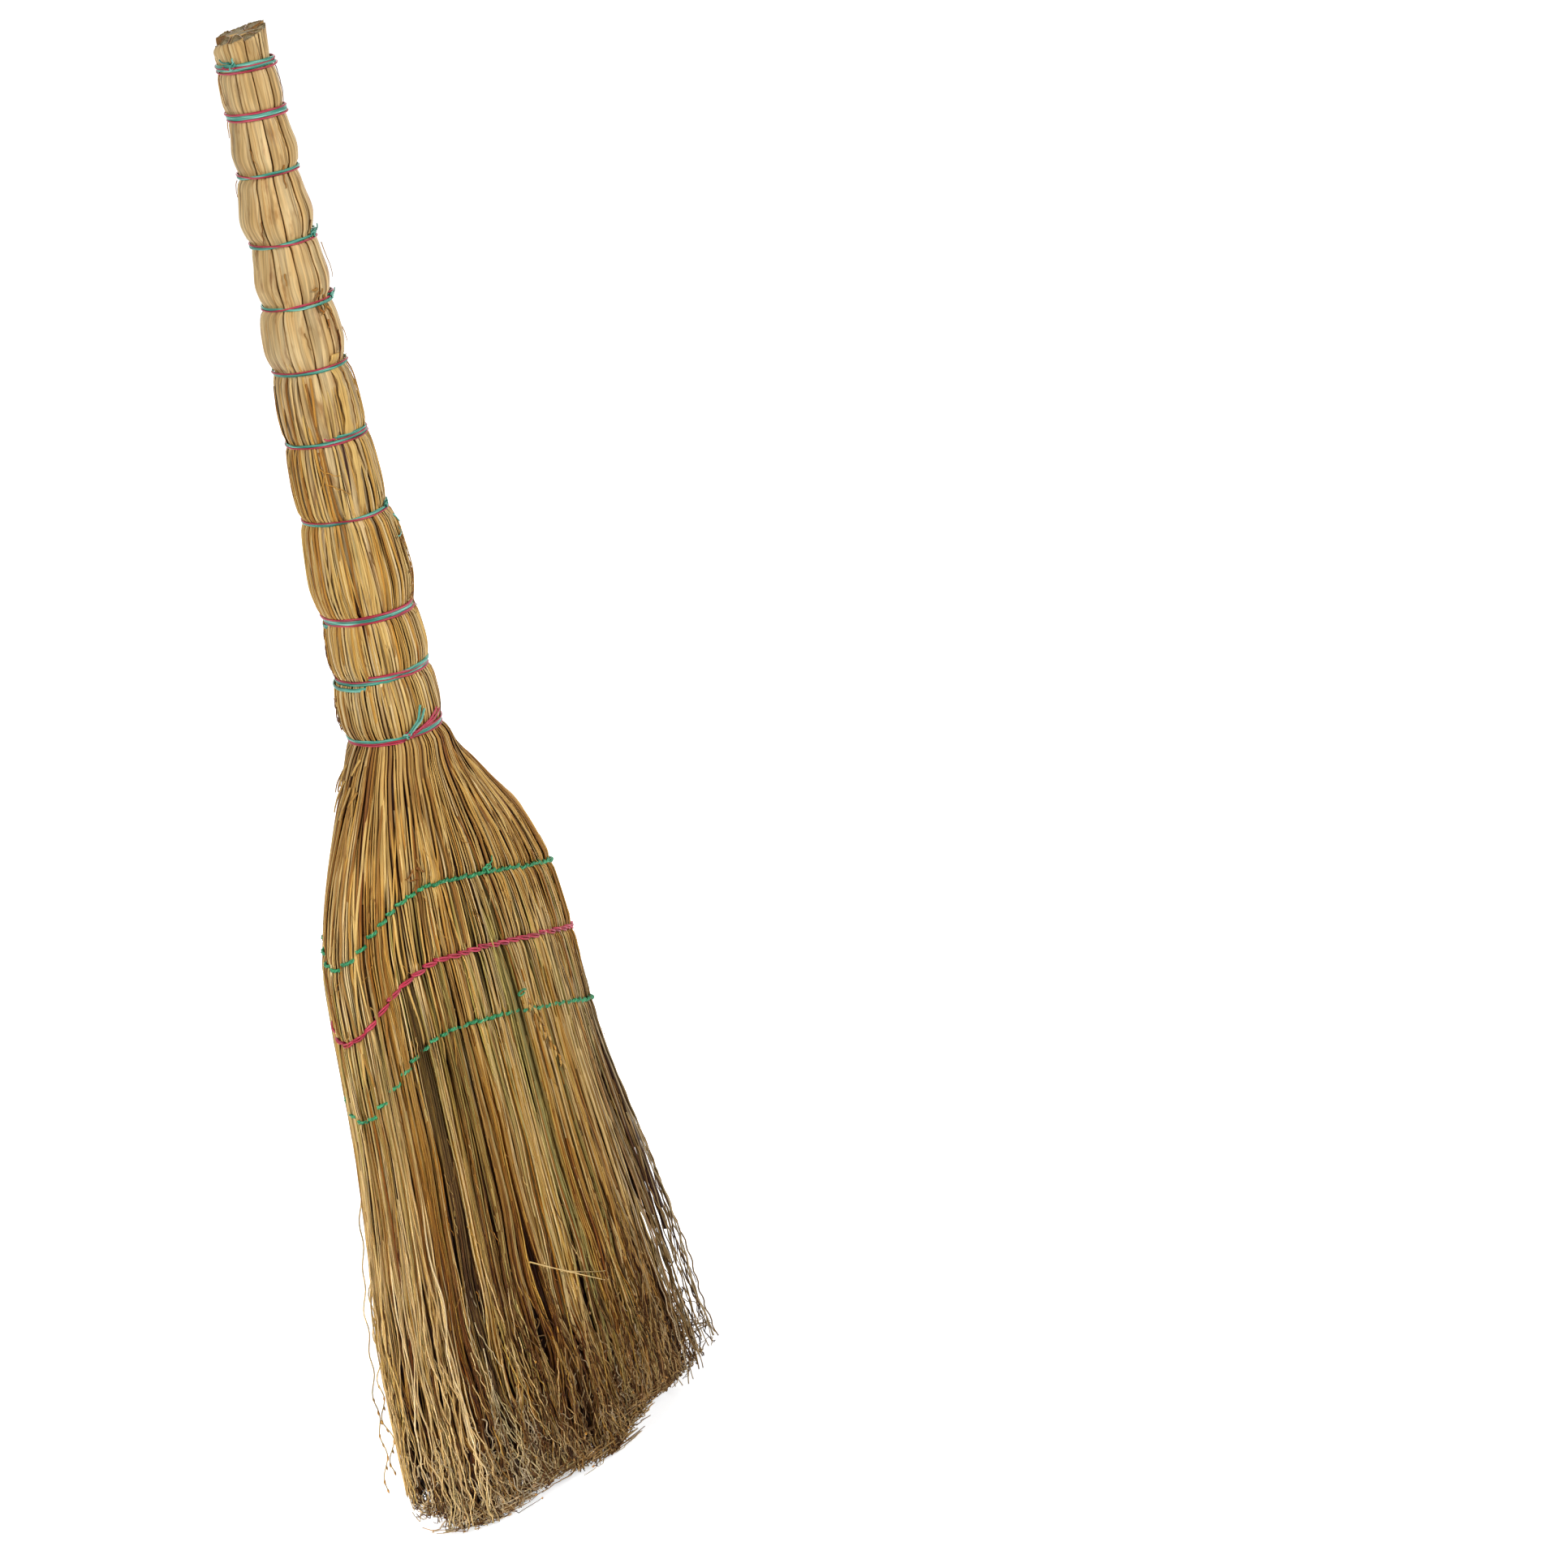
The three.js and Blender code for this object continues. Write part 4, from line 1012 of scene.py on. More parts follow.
# Painted shade: the deeper a fibre lies, the further its hue slides towards rust.
fibre_tone = fibre_tone[:, None] - 0.1 * np.clip(under, 0, 3) + 0.1 * below(height, 110, 100)
fibre_tone = fibre_tone + 0.15 * bell(height, 285, 65)
tip_dust_and_light = np.interp(group_across[fibre_group], [-1, -0.72, -0.45, 1], [0.85, 0.85, 0.55, 0.5])[:, None]
wisp_dark = own.uniform(0.1, 1.25, wisp_count)[fibre_wisp][:, None]
tip_age = 0.75 * tip_dust_and_light * below(height, 80, 70) + group_age[fibre_group, None] * below(height, 300, 130)
tip_age = np.clip(tip_age * own.uniform(0.35, 1.2, each_fibre), 0, 1)
# Painted shade: two in five fibres are dimmed as if they lay in shade, fewer of them near the roots.
fibre_dim = either(own, fibre_count, 0.38, (0.1, 0.5), (0.92, 1.1))
fibre_dim = 1 - (1 - fibre_dim[:, None]) * (1 - 0.65 * bell(height, 270, 100))
# Painted light: the left end is a little darker, each wisp's light differs, the tips in the middle are darkened wisp by
# wisp, and nearly half the fibres are darkened under the curls.
fibre_light = group_light[fibre_group] * np.interp(group_across[fibre_group], [-1, -0.5, -0.2, 1], [0.9, 0.9, 1, 1])
fibre_light = (fibre_light * own.uniform(0.92, 1.05, wisp_count)[fibre_wisp])[:, None] * fibre_dim
fibre_light = fibre_light * (1 - 1.1 * wisp_dark * (1 - tip_dust_and_light) * below(height, 110, 90))
fibre_light = fibre_light * (1 - np.where(own.random(each_fibre) < 0.45, 0.6, 0.0) * below(height, 75, 60))
# Painted shade: the deeper layer gets half the light, and the deeper a fibre lies, the darker it is painted.
layer_light = np.where(near_layer, 1, 0.5) * np.where(moved, 0.95, 1)
fibre_shade = np.exp(-0.52 * np.maximum(under + 0.4 * rise + 0.8 * rounded - 0.6, 0)) * fibre_light
fibre_shade = np.clip(fibre_shade * layer_light[:, None], 0.02, 1)
fibre_across = across_at(group_middle[fibre_group, strip_row], np.full(fibre_count, strip_height))
thinned = 0.4 * below(fibre_across, -0.88, 0.08)
dense_enough = (own.random(fibre_count) > thinned) & (moved | ~taken)
near_skin = near_layer & dense_enough & (own_depth + sunk < 1.3)
print("fibres kept:", int(dense_enough.sum()), "of them near the surface:", int(near_skin.sum()))

# %% Dark heart of the brush
# Thick, plain strands in the middle keep daylight out, and are painted nearly black, as the shade inside the brush.
# They stay clear of the open corner, where the real brush is thin.
core_share = own.uniform(0, 1, (1300, 1))
core_share = core_share[openness(core_share[:, 0]) < 0.1]
core_count = len(core_share)
core_across = across_at(core_share, np.full((core_count, 1), 100.0))
core_foot = foot_height(core_share) + own.uniform(1.5, 16, (core_count, 1))
core_height = np.linspace(0, 1, 8) * (core_foot - 270) + 270
_, _, half_depth = outline(core_height)
core_inset = 4.0 + own.uniform(0, 1, (core_count, 1)) * (half_depth - 10) + 60 * np.maximum(-core_across - 0.9, 0)
core_share = core_share + waves(own, core_count, core_height, (90,), (3,)) / girth(core_height)
path, out = surface(core_share, core_height, np.minimum(core_inset, half_depth * 0.8))
core_sweep = sweep(path, out, np.full(path.shape[:2], 1.8), sides=4)
part = strands(core_sweep, tone=own.uniform(0.05, 0.4, core_count), shade=own.uniform(0.01, 0.12, core_count))
make_piece("inner_fibres", [part], [fibre_skin], "brush_fibre", seed=58)


# %% Twigs and seeds
# A twig leaves its mother fibre at one of the fibre's rings, curls more the lower it starts, and one in 25 still holds
# a seed.
def held(points, wide, deep):
    """Points drawn back, so that none lies further than this outside the outline at its ends, or at front and back."""
    middle, width, depth = outline(points[..., 2])
    x, y = points[..., 0] - middle, points[..., 1]
    pull = 1 / np.maximum(np.hypot(x / (width + wide), y / (depth + deep)), 1)
    return np.stack([middle + x * pull, y * pull, points[..., 2]], axis=-1)


twig_count, twig_rings = 4600, 11
each_twig = (twig_count, 1)
mother = own.choice(np.flatnonzero(near_skin), twig_count)
from_ring = (fibre_rings * (0.4 + 0.6 * own.random(twig_count) ** 0.75)).astype(int)
from_ring = np.minimum(from_ring, fibre_rings - 2)
start = fibre_path[mother, from_ring]
out_here = fibre_out[mother, from_ring]
down = unit(fibre_path[mother, from_ring + 1] - start)
side = np.cross(down, out_here)
length = own.uniform(12, 44, twig_count)
lean = own.normal(0, 0.13, each_twig) * side + own.normal(0.03, 0.1, each_twig) * out_here
t = np.linspace(0, 1, twig_rings)
line = start[:, None] + (down + lean)[:, None] * (length[:, None] * t)[..., None]
low_down = below(start[:, 2], 110, 100)[:, None]
curl = own.uniform(0.25, 0.8, each_twig) * (0.5 + 1.4 * low_down) * np.minimum(t * 2.5, 1)
phase = own.uniform(0, 2 * math.pi, each_twig)
pace = 2 * math.pi * length[:, None] / own.uniform(9, 22, each_twig)
line += (side[:, None] * (curl * np.sin(phase + pace * t))[..., None]
         + out_here[:, None] * (curl * 0.7 * np.cos(phase + pace * t * 1.2))[..., None])
least = group_foot[fibre_group[mother], None] + own.uniform(0.6, 7, each_twig)
too_low = np.maximum(least - line[..., 2], 0)
line[..., 2] = np.maximum(line[..., 2], least + 0.25 * np.minimum(too_low, 8))
line = held(line, 2.6, 2.6)
twig_radius = own.uniform(0.34, 0.52, each_twig) * (1 - 0.35 * t)
twig_sweep = sweep(line, np.broadcast_to(out_here[:, None], line.shape), twig_radius, sides=3)
twig_tone = np.clip(fibre_tone[mother, from_ring] * 0.5 + 0.3 + own.normal(0, 0.1, twig_count), 0, 1)
twig_age = np.clip(tip_age[mother, from_ring] + own.uniform(-0.1, 0.3, twig_count), 0, 1)
# Painted shade: nearly half the twigs are dimmed as if in shade, and more so towards the middle of the tips.
twig_shade = either(own, twig_count, 0.55, (0.85, 1.0), (0.15, 0.55)) * (0.4 + 0.6 * tip_dust_and_light[mother, 0])

seeded = np.flatnonzero((own.uniform(size=twig_count) < 0.04))
seed_length = own.uniform(1.6, 3.0, len(seeded))
seed_way = unit(line[seeded, -1] - line[seeded, -2])
seed_steps = np.array([0.0, 0.22, 0.55, 0.85, 1.0])
seed_path = line[seeded, -1][:, None] + seed_way[:, None] * (seed_length[:, None] * seed_steps)[..., None]
seed_path = held(np.concatenate([seed_path[..., :2], np.maximum(seed_path[..., 2:], 0.9)], axis=-1), 4.0, 3.4)
seed_radius = np.array([0.3, 0.75, 0.95, 0.6, 0.12]) * own.uniform(0.6, 0.95, (len(seeded), 1))
seed_out = np.broadcast_to(out_here[seeded][:, None], seed_path.shape)
seed_sweep = sweep(seed_path, seed_out, seed_radius, seed_radius * 0.7, sides=5)
print("twigs:", twig_count, "seeds:", len(seeded))


# %% Loose bits that lie on the surface
def scraps(rng, share, height, length, heading, bend, lift, curl=0.3, curl_mm=6.0, count=14):
    """Paths of loose bits. A heading of -90 points straight down. The curl swings it to and fro, once in curl_mm."""
    values = (np.atleast_1d(x) for x in (share, height, length, heading, bend, lift))
    share, height, length, heading, bend, lift = np.broadcast_arrays(*values)
    t = np.linspace(0, 1, count)
    swing = curl * np.sin(2 * math.pi * (length[:, None] * t / curl_mm + rng.uniform(0, 1, (len(share), 1))))
    way = np.radians(heading)[:, None] + bend[:, None] * t + swing
    step = (length / (count - 1))[:, None]
    sideways = np.cumsum(np.cos(way), axis=1) * step
    least = foot_height(share)[:, None] + rng.uniform(0.8, 6, (len(share), 1))
    level = np.maximum(height[:, None] + np.cumsum(np.sin(way), axis=1) * step, least)
    raised = lift[:, None] * np.sin(math.pi * 0.62 * t)
    return surface(share[:, None] + sideways / girth(level), level, -0.15 - raised)


def scrap_strands(path_out, radius, tone, shade=0.95, age=0.0, flat=0.7, sides=5):
    """Strands along such paths, that thin out to their ends."""
    path, out = path_out
    taper = np.linspace(1, 0.55, path.shape[1])
    wide = np.atleast_1d(radius)[:, None] * taper
    return strands(sweep(path, out, wide, wide * flat, sides=sides), tone=tone, shade=shade, age=age)


# %% Curled tips
# The last few centimetres are a pale tangle.
curl_count = 1900
each_curl = (curl_count, 1)
curl_mother = own.choice(np.flatnonzero(near_skin & ~moved), curl_count)
curl_share = fibre_share[curl_mother, fibre_rings - 8]
curl_share = curl_share + own.normal(0, 1.3, curl_count) / girth(np.full(curl_count, 30.0))
curl_across = across_at(curl_share, np.full(curl_count, 40.0))
# Painted shade: the curls are darker towards the middle and the right of the brush, and three in ten are painted as
# lying in shade.
curl_painted_light = np.interp(curl_across, [-1, -0.72, -0.45, 1], [0.95, 0.95, 0.8, 0.75])
curl_start = foot_height(curl_share) + own.gamma(2.0, 12.0, curl_count) + 3
length, heading = own.uniform(12, 36, curl_count), own.normal(-90, 24, curl_count)
bend, lift = own.normal(0, 0.6, curl_count), own.uniform(-1.2, 2.0, curl_count)
swing, swing_mm = own.uniform(0.3, 1.1, each_curl), own.uniform(8, 18, each_curl)
path, out = scraps(own, curl_share, curl_start, length, heading, bend, lift, curl=swing, curl_mm=swing_mm, count=17)
radius, tone = own.uniform(0.36, 0.56, curl_count), own.normal(0.56, 0.12, curl_count)
shade = either(own, curl_count, 0.7, (0.88, 1), (0.1, 0.5)) * curl_painted_light
age = np.clip(own.normal(0.62, 0.25, curl_count), 0, 1)
curl_set = scrap_strands((held(path, 2.6, 2.6), out), radius, tone, shade, age, flat=1.0, sides=3)
print("curled tips:", curl_count)

# %% Loose strands at the two ends
# At both ends of the brush some strands have come away: 70 at the left, and 42 at the open right.
end_count, left_count = 112, 70
each_end = (end_count, 1)
at_right = np.arange(end_count) >= left_count


def by_end(right, left):
    return np.where(at_right, right, left)


end_share = by_end(own.uniform(-0.17, 0.03, end_count), 0.5 + own.uniform(-0.1, 0.07, end_count))
end_top = own.uniform(170, 290, end_count)
end_low = foot_height(end_share) * by_end(0.5, 1) + own.gamma(1.1, 1, end_count) * by_end(5, 14) + 1.5
level = end_top[:, None] + (end_low - end_top)[:, None] * np.linspace(0, 1, 60)
fallen = below(level, end_top[:, None], 200)
drift = (waves(own, end_count, level, (120, 60), (2.5, 1.2)) * fallen
         + waves(own, end_count, level, (24, 15), (0.9, 0.6)) * below(level, 100, 80))
away = by_end(own.uniform(-15, 6.5, end_count), own.uniform(0, 6, end_count))[:, None] * fallen
away = away + waves(own, end_count, level, (70, 19), (0.8, 0.5)) * fallen
path, out = surface(end_share[:, None] + drift / girth(level), level, 0.8 * (1 - fallen) - away)
path = held(path, by_end(7.0, 4.0)[:, None], 3.4)
rings = sweep(path, out, own.uniform(0.4, 0.62, each_end) * np.linspace(1, 0.7, 60), sides=4)
tone = by_end(0.7, 0.55) + own.normal(0, 0.08, end_count)
shade = by_end(own.uniform(0.4, 0.85, end_count), own.uniform(0.7, 1, end_count))
age = by_end(own.uniform(0.5, 1, end_count), own.uniform(0, 0.35, end_count))
make_piece("curled_tips", [curl_set, strands(rings, tone, shade, age)], [fibre_skin], "brush_fibre", seed=59)

# %% The four parts of the brush
brush_names = ["brush_left", "brush_centre_left", "brush_centre_right", "brush_right"]
brush_edges = [-9, -0.52, 0, 0.52, 9]
for number, node in enumerate(brush_names):
    inside = (fibre_across >= brush_edges[number]) & (fibre_across < brush_edges[number + 1])
    chosen = np.flatnonzero(inside & dense_enough)
    twigs = np.flatnonzero(inside[mother])
    seeds = np.flatnonzero(inside[mother[seeded]])
    sets = [strands(fibre_sweep[chosen], fibre_tone[chosen], fibre_shade[chosen], tip_age[chosen]),
            strands(twig_sweep[twigs], twig_tone[twigs], twig_shade[twigs], twig_age[twigs]),
            strands(seed_sweep[seeds], 0.25, 0.8, twig_age[seeded][seeds])]
    make_piece(f"{node}_fibres", sets, [fibre_skin], "brush_fibre", node, seed=60 + number)

# %% [markdown]
# ## Bands of twine
# Each band is a green and a red twine wound together, with one or two turns that lie side by side and change places
# once in a while. A twine is split film, folded and a little twisted, so it is wider than thick. It is swept as a
# flattened tube with two lobes that turn slowly along it, which gives the long broken highlights of the real one, and
# the valleys between the lobes are painted darker as shade.

# %% Winding one twine
# Start angle, turns of green, turns of red, the angle where the two cross over, and how often they do in a turn.
band_winding = [(60, 2.0, 1.9, 130, 1), (60, 2.0, 2.0, 403, 0.5), (75, 1.1, 1.1, 185, 1), (289, 1.1, 1.1, 215, 1),
                (290, 1.1, 1.12, 383, 1), (30, 1.1, 1.1, 313, 1), (233, 1.28, 1.3, 130, 1), (292, 1.08, 1.1, 230, 1),
                (120, 2.1, 2.0, 350, 0.5), (200, 2.0, 1.6, 250, 1), (235, 1.7, 2.0, 403, 0.5)]
turn_rise = 2.3
film_widths = [1.1, 1.2, 1, 1, 1, 1, 1, 1, 1.5, 1.35, 1.15]
film_thickness = 0.58
twine_sides = 8


def wound(band, colour, rng):
    """The path of one twine of a band, and the way out along it."""
    begin, *turns, crossing, rate = band_winding[band]
    most, turns = max(turns), turns[colour]
    t = np.linspace(0, turns, int(turns * 150))
    angle = math.radians(begin) + 2 * math.pi * t
    side = np.tanh(3 * np.sin(rate * (angle - math.radians(crossing)))) * (-1 if colour else 1)
    near_cross = 1 - side**2
    drop = turn_rise * (t - most / 2)
    height = band_heights[band] - drop + 0.66 * side + waves(rng, 1, t * 60, (70, 23), (0.2, 0.08))[0]
    lift = 0.6 + (0.45 * near_cross if colour else 0) + 0.08 * rng.uniform()
    ends = ease(t / 0.03) * ease((turns - t) / 0.03)
    share = angle / (2 * math.pi)
    return surface(share, height, groove(share, height) * 0.8 - lift * ends + 0.8 * (1 - ends))


def twine_rings(path, out, width, rng, twist_mm=30.0):
    """Rings of a flattened film twine, with two lobes that turn along it, and the painted shade of the valleys between.
    """
    run = np.concatenate([[0], np.cumsum(np.linalg.norm(np.diff(path, axis=0), axis=-1))])
    side, up = ways_of(path, out)
    around = 2 * math.pi * np.arange(twine_sides) / twine_sides
    lobes = 1 + 0.08 * np.cos(2 * (around[None] - 2 * math.pi * run[:, None] / twist_mm - rng.uniform(0, 6)))
    swell = 1 + 0.1 * np.sin(2 * math.pi * run / 31 + rng.uniform(0, 6)) + 0.05 * np.sin(2 * math.pi * run / 11)
    ring = (side[:, None] * (width * lobes * swell[:, None] * np.sin(around))[..., None]
            + up[:, None] * (film_thickness * lobes * np.cos(around))[..., None])
    valley = np.clip(0.6 + 0.5 * (lobes - 0.92) / 0.16, 0, 1)
    return (path[:, None] + ring)[None], valley[None]


# %% Knots and tails
def knot(angle, height, size):
    """A small tied lump: a closed-in curl of twine that lies on the band."""
    t = np.linspace(0, 2 * math.pi * 0.96, 44)
    curve_side = size * (np.sin(t) + 1.3 * np.sin(2 * t)) * 0.62
    curve_up = size * (np.cos(t) - 1.3 * np.cos(2 * t)) * 0.5
    curve_out = 1.5 + size * 0.42 * np.sin(3 * t)
    return surface(angle / 360 + curve_side / girth(np.array(height, float)), height + curve_up, -curve_out)


def tail(angle, height, turn_mm, rise_mm, lift_mm):
    """A short loose end: it leaves the surface and ends off to one side."""
    t = np.linspace(0, 1, 22)
    share = angle / 360 + (turn_mm * t + 0.8 * np.sin(5 * t)) / girth(np.array(height, float))
    raised = 0.9 + lift_mm * np.sin(math.pi * 0.75 * t)
    return surface(share, height + rise_mm * t + 0.5 * np.sin(7 * t), -raised)


def loose_end(path_out, radius, shade, fray=True):
    """A knot or a tail, thinner to its end where it frays."""
    path, out = path_out
    taper = np.linspace(1, 0.75 if fray else 1, len(path))
    return one_strand(path, out, radius * taper, min(radius * 0.8, 0.45) * taper, sides=6, shade=shade)


# Which band has a knot or a tail, where, and how it lies: angle, height above the band, run across, rise, lift.
green_ends = {0: [("knot", 195, 2.2, 1.7), ("tail", 194, 3.0, -4, 3.5, 1.2), ("tail", 197, 3, 2.5, 3.5, 1.4)],
              3: [("knot", 288, 0.5, 1.5), ("tail", 291, 0, 3.5, 3.5, 1.2), ("tail", 290, 1, 1.5, 4.0, 1.6)],
              4: [("knot", 291, 0.5, 1.2), ("tail", 293, 0, 2.5, 3.2, 1.0)],
              7: [("knot", 292, 1.0, 1.3), ("tail", 290, 1, 2.5, 3.5, 1.4)],
              10: [("knot", 236, 1.6, 1.6), ("tail", 238, 2, 9, 15, 2.0), ("tail", 239, 2, 11, 12, 1.2)]}
red_ends = {0: [("tail", 199, 0.5, -5.5, 1.5, 1.0)],
            6: [("tail", 233, 1, -4.5, 2.0, 0.6)],
            10: [("knot", 240, 1.2, 1.3), ("tail", 243, 1, 20, 8.5, 1.4), ("tail", 243, 1, 18, 10, 0.8)]}
print("bands with a knot:", [band + 1 for band in green_ends])


def end_set(kind, band, angle, above_band, rest):
    height = band_heights[band] + above_band
    if kind == "knot":
        return loose_end(knot(angle, height, *rest), 0.55, 0.85, fray=False)
    return loose_end(tail(angle, height, *rest), 1.0 if band == 10 else 0.65, 0.85)


# %% The eleven bands
twine_report = []
for band in range(11):
    for colour, film, wide in ((0, green_film, 0.8), (1, red_film, 0.52)):
        rng = np.random.default_rng(700 + 10 * band + colour)
        word = "red" if colour else "green"
        path, out = wound(band, colour, rng)
        rings, valley = twine_rings(path, out, wide * film_widths[band], rng)
        sets = [strands(rings, shade=valley)]
        for kind, angle, above_band, *rest in (red_ends if colour else green_ends).get(band, []):
            sets.append(end_set(kind, band, angle, above_band, rest))
        node = f"band_{band + 1:02d}_{word}_twine"
        make_piece(f"{node}_film", sets, [film], f"twine_{word}", node, seed=800 + band)
    twine_report.append(round(float(outline(np.array(band_heights[band]))[1]), 1))
print("bands wound on radii", twine_report)

# %% [markdown]
# ## Stitches
# A row is sewn through the head. On each face the twine lies as short stitches, each over one small bundle of straws,
# and dips into the head between two. The green rows step down like stairs to the left, and the red row is a chain
# whose links slant. So each stitch is its own pair of short bowed tubes: in a green row two plies that twist round each
# other, and in the red row the two sides of a link. The rows are lists of such pairs.

# %% Sewing a row
stitch_mm, link_mm = 7.2, 8.2
ply_radius, link_radius = 0.7, 0.68
stitch_steps = 15


def stitch(share, span, row, rng, chain, mid_height):
    """The line of one stitch, the way out along it, and how far it bows."""
    t = np.linspace(0, 1, stitch_steps)
    s = share + span * t
    line = row_height(row, across_at(s, np.full_like(s, mid_height)))
    centre = line.mean()
    height = centre + (line - centre) * (1.0 if chain else 0.35) + rng.uniform(-0.5, 0.5)
    if chain:
        height = height + 2.0 * (t - 0.5) * (1 if math.sin(2 * math.pi * share) > 0 else -1)
    bow = np.sin(math.pi * t)
    path, out = surface(s, height, groove(s, height) - 0.85 - 0.35 * bow + 1.9 * (1 - bow**0.45))
    return t, path, out, bow


def stitch_row(row, rng, chain):
    """Rings of all the stitches of a row, on both faces."""
    length = link_mm if chain else stitch_mm
    mid_height = row_heights[row] - 15
    around = float(girth(np.array(mid_height)))
    places = []
    share = 0.0
    while share < 1 - 0.4 * length / around:
        span = length * rng.uniform(0.8, 1.25) / around
        places.append((share, span))
        share += span
    rings = []
    for share, span in places:
        span = span * (1.16 if chain else rng.uniform(0.84, 1.02))
        t, path, out, bow = stitch(share, span, row, rng, chain, mid_height)
        side, _ = ways_of(path, out)
        wide = link_radius if chain else ply_radius
        for ply in (0, 1):
            way = 1 if ply else -1
            turned = ply * math.pi + 2 * math.pi * t * 1.6 + share * 40
            if chain:
                aside, outward = 0.8 * way * bow**0.8, 0.25 * way * np.cos(math.pi * t)
            else:
                aside, outward = 0.75 * wide * np.cos(turned), 0.6 * wide * np.sin(turned)
            ply_path = path + side * aside[:, None] + out * outward[:, None]
            rings.append(sweep(ply_path[None], out[None], np.full((1, stitch_steps), wide), sides=6)[0])
    return np.array(rings)


# %% The three rows, their ends, and an eye that stands off the third
row_words = ["green", "red", "green"]
for row, word in enumerate(row_words):
    rng = np.random.default_rng(900 + row)
    rings = stitch_row(row, rng, chain=row == 1)
    sets = [strands(rings, shade=np.clip(rng.normal(0.85, 0.15, len(rings)), 0.4, 1))]
    if row == 0:
        sets += [loose_end(knot(277.2, 366, 2.2), 0.7, 0.9, fray=False), loose_end(tail(278, 366, 7, 5, 1.4), 0.6, 0.9)]
    if row == 2:
        t = np.linspace(0.1, 1.75 * math.pi, 26)
        eye_share = 276.2 / 360 + 3.4 * np.cos(t) / girth(np.array(288.0))
        eye = surface(eye_share, 289.5 + 1.5 * np.sin(t), -2.1 - 0.5 * np.sin(t))
        sets.append(loose_end(eye, 0.6, 0.95, fray=False))
    node = f"stitch_row_{row + 1}_{word}"
    make_piece(f"{node}_stitches", sets, [red_film if row == 1 else stitch_film], f"twine_{word}", node, seed=910 + row)
    print("row", row + 1, "stitches:", len(rings) // 2)

# %% [markdown]
# ## Loose bits
# An old broom sheds. Hairs peel off the straws, the leaf sheaths tear and curl, broken stubs stand out at the shoulder,
# and some seed heads hang on. They could be scattered as copies of one scrap, but copies show. So one function lays
# many short strands, each with its own heading, bend and lift, and each group of bits has its own place on the broom.

# %% Hairs, torn sheath and stubs
def shares_of(angle, height):
    """The same for many directions at once."""
    angle, height = np.broadcast_arrays(np.atleast_1d(angle), np.atleast_1d(height))
    return np.array([share_of(a, z) for a, z in zip(angle, height)])


own = np.random.default_rng(81)
sets = []
# Fine hairs on the head, then coarser ones on the handle: how many, how high, how long, heading, bend, lift, and the
# ranges of their radius, tone and shade.
hair_kinds = ((420, (90, 400), (5, 18), (-88, 13), 0.4, 1.2, (0.16, 0.3), (0.3, 0.65), (0.5, 1.0)),
              (60, (470, 840), (5, 26), (-90, 6), 0.12, 0.15, (0.25, 0.5), (0.2, 0.7), (0.3, 1)))
for count, heights, lengths, headings, bend, lift, radii, tones, shades in hair_kinds:
    hairs = scraps(own, own.uniform(0, 1, count), own.uniform(*heights, count), own.uniform(*lengths, count),
                   own.normal(*headings, count), own.normal(0, bend, count), own.uniform(0.0, lift, count))
    sets.append(scrap_strands(hairs, *(own.uniform(*limits, count) for limits in (radii, tones, shades))))
make_piece("peeled_hairs", sets, [straw_skin], "bunch_straw", seed=82)

sets = []
# Where sheaths are torn: angle, spread of the angle, lowest and highest, and how many curls.
torn_places = ((139, 9, 462, 482, 12), (138, 9, 493, 530, 26), (303, 7, 524, 571, 44), (262, 14, 693, 712, 8),
               (238, 3, 372, 392, 8))
for angle, spread, low_z, high_z, count in torn_places:
    z = own.uniform(low_z, high_z, count)
    share = shares_of(own.normal(angle, spread / 2, count), z)
    bits = scraps(own, share, z, own.uniform(3, 8, count), own.uniform(-135, -45, count), own.normal(0, 1.4, count),
                  own.uniform(0.2, 1.0, count))
    radius, tone, shade = own.uniform(0.4, 0.95, count), own.uniform(0.2, 0.5, count), own.uniform(0.3, 0.8, count)
    sets.append(scrap_strands(bits, radius, tone, shade, flat=0.45))
make_piece("torn_sheath_curls", sets, [straw_skin], "bunch_straw", seed=83)

count = 10
share = shares_of(own.uniform(130, 192, count), 440)
stubs = scraps(own, share, own.uniform(428, 448, count), own.uniform(6, 17, count), own.normal(-94, 12, count),
               own.normal(0, 0.4, count), own.uniform(0.8, 3.2, count), curl=0.1)
part = scrap_strands(stubs, own.uniform(0.8, 1.4, count), own.uniform(0.3, 0.65, count), own.uniform(0.6, 1, count))
make_piece("broken_stubs", [part], [straw_skin], "bunch_straw", seed=84)

# %% Torn strip of sheath, with a dark split beside it, and an open sleeve
t = np.linspace(0, 1, 60)
height = 674 - 92 * t
share = shares_of(np.interp(height, [582, 600, 627, 650, 674], [247, 251, 256, 259, 262]), height)
under_twine = sum(1.7 * bell(height, z, 3.4) for z in band_heights[5:8])
path, out = surface(share, height, groove(share, height) + under_twine - 0.75 - 0.5 * np.sin(math.pi * t))
ripple = 2.5 + 0.5 * np.sin(t * 31) + 0.35 * np.sin(t * 57 + 1)
sets = [one_strand(path, out, ripple * (1 - 0.55 * t**3), 0.55, sides=8, tone=0.55, shade=0.95)]
leaf = np.sin(np.linspace(0.15, 3.0, 30))
# The split is a thin strand painted nearly black, as the shade of the gap beside the strip.
height = np.linspace(632, 588, 30)
path, out = surface(shares_of(np.linspace(243, 236, 30), height), height, 0.0)
sets.append(one_strand(path, out, 0.85 * leaf, 0.35, sides=6, tone=0.1, shade=0.1))
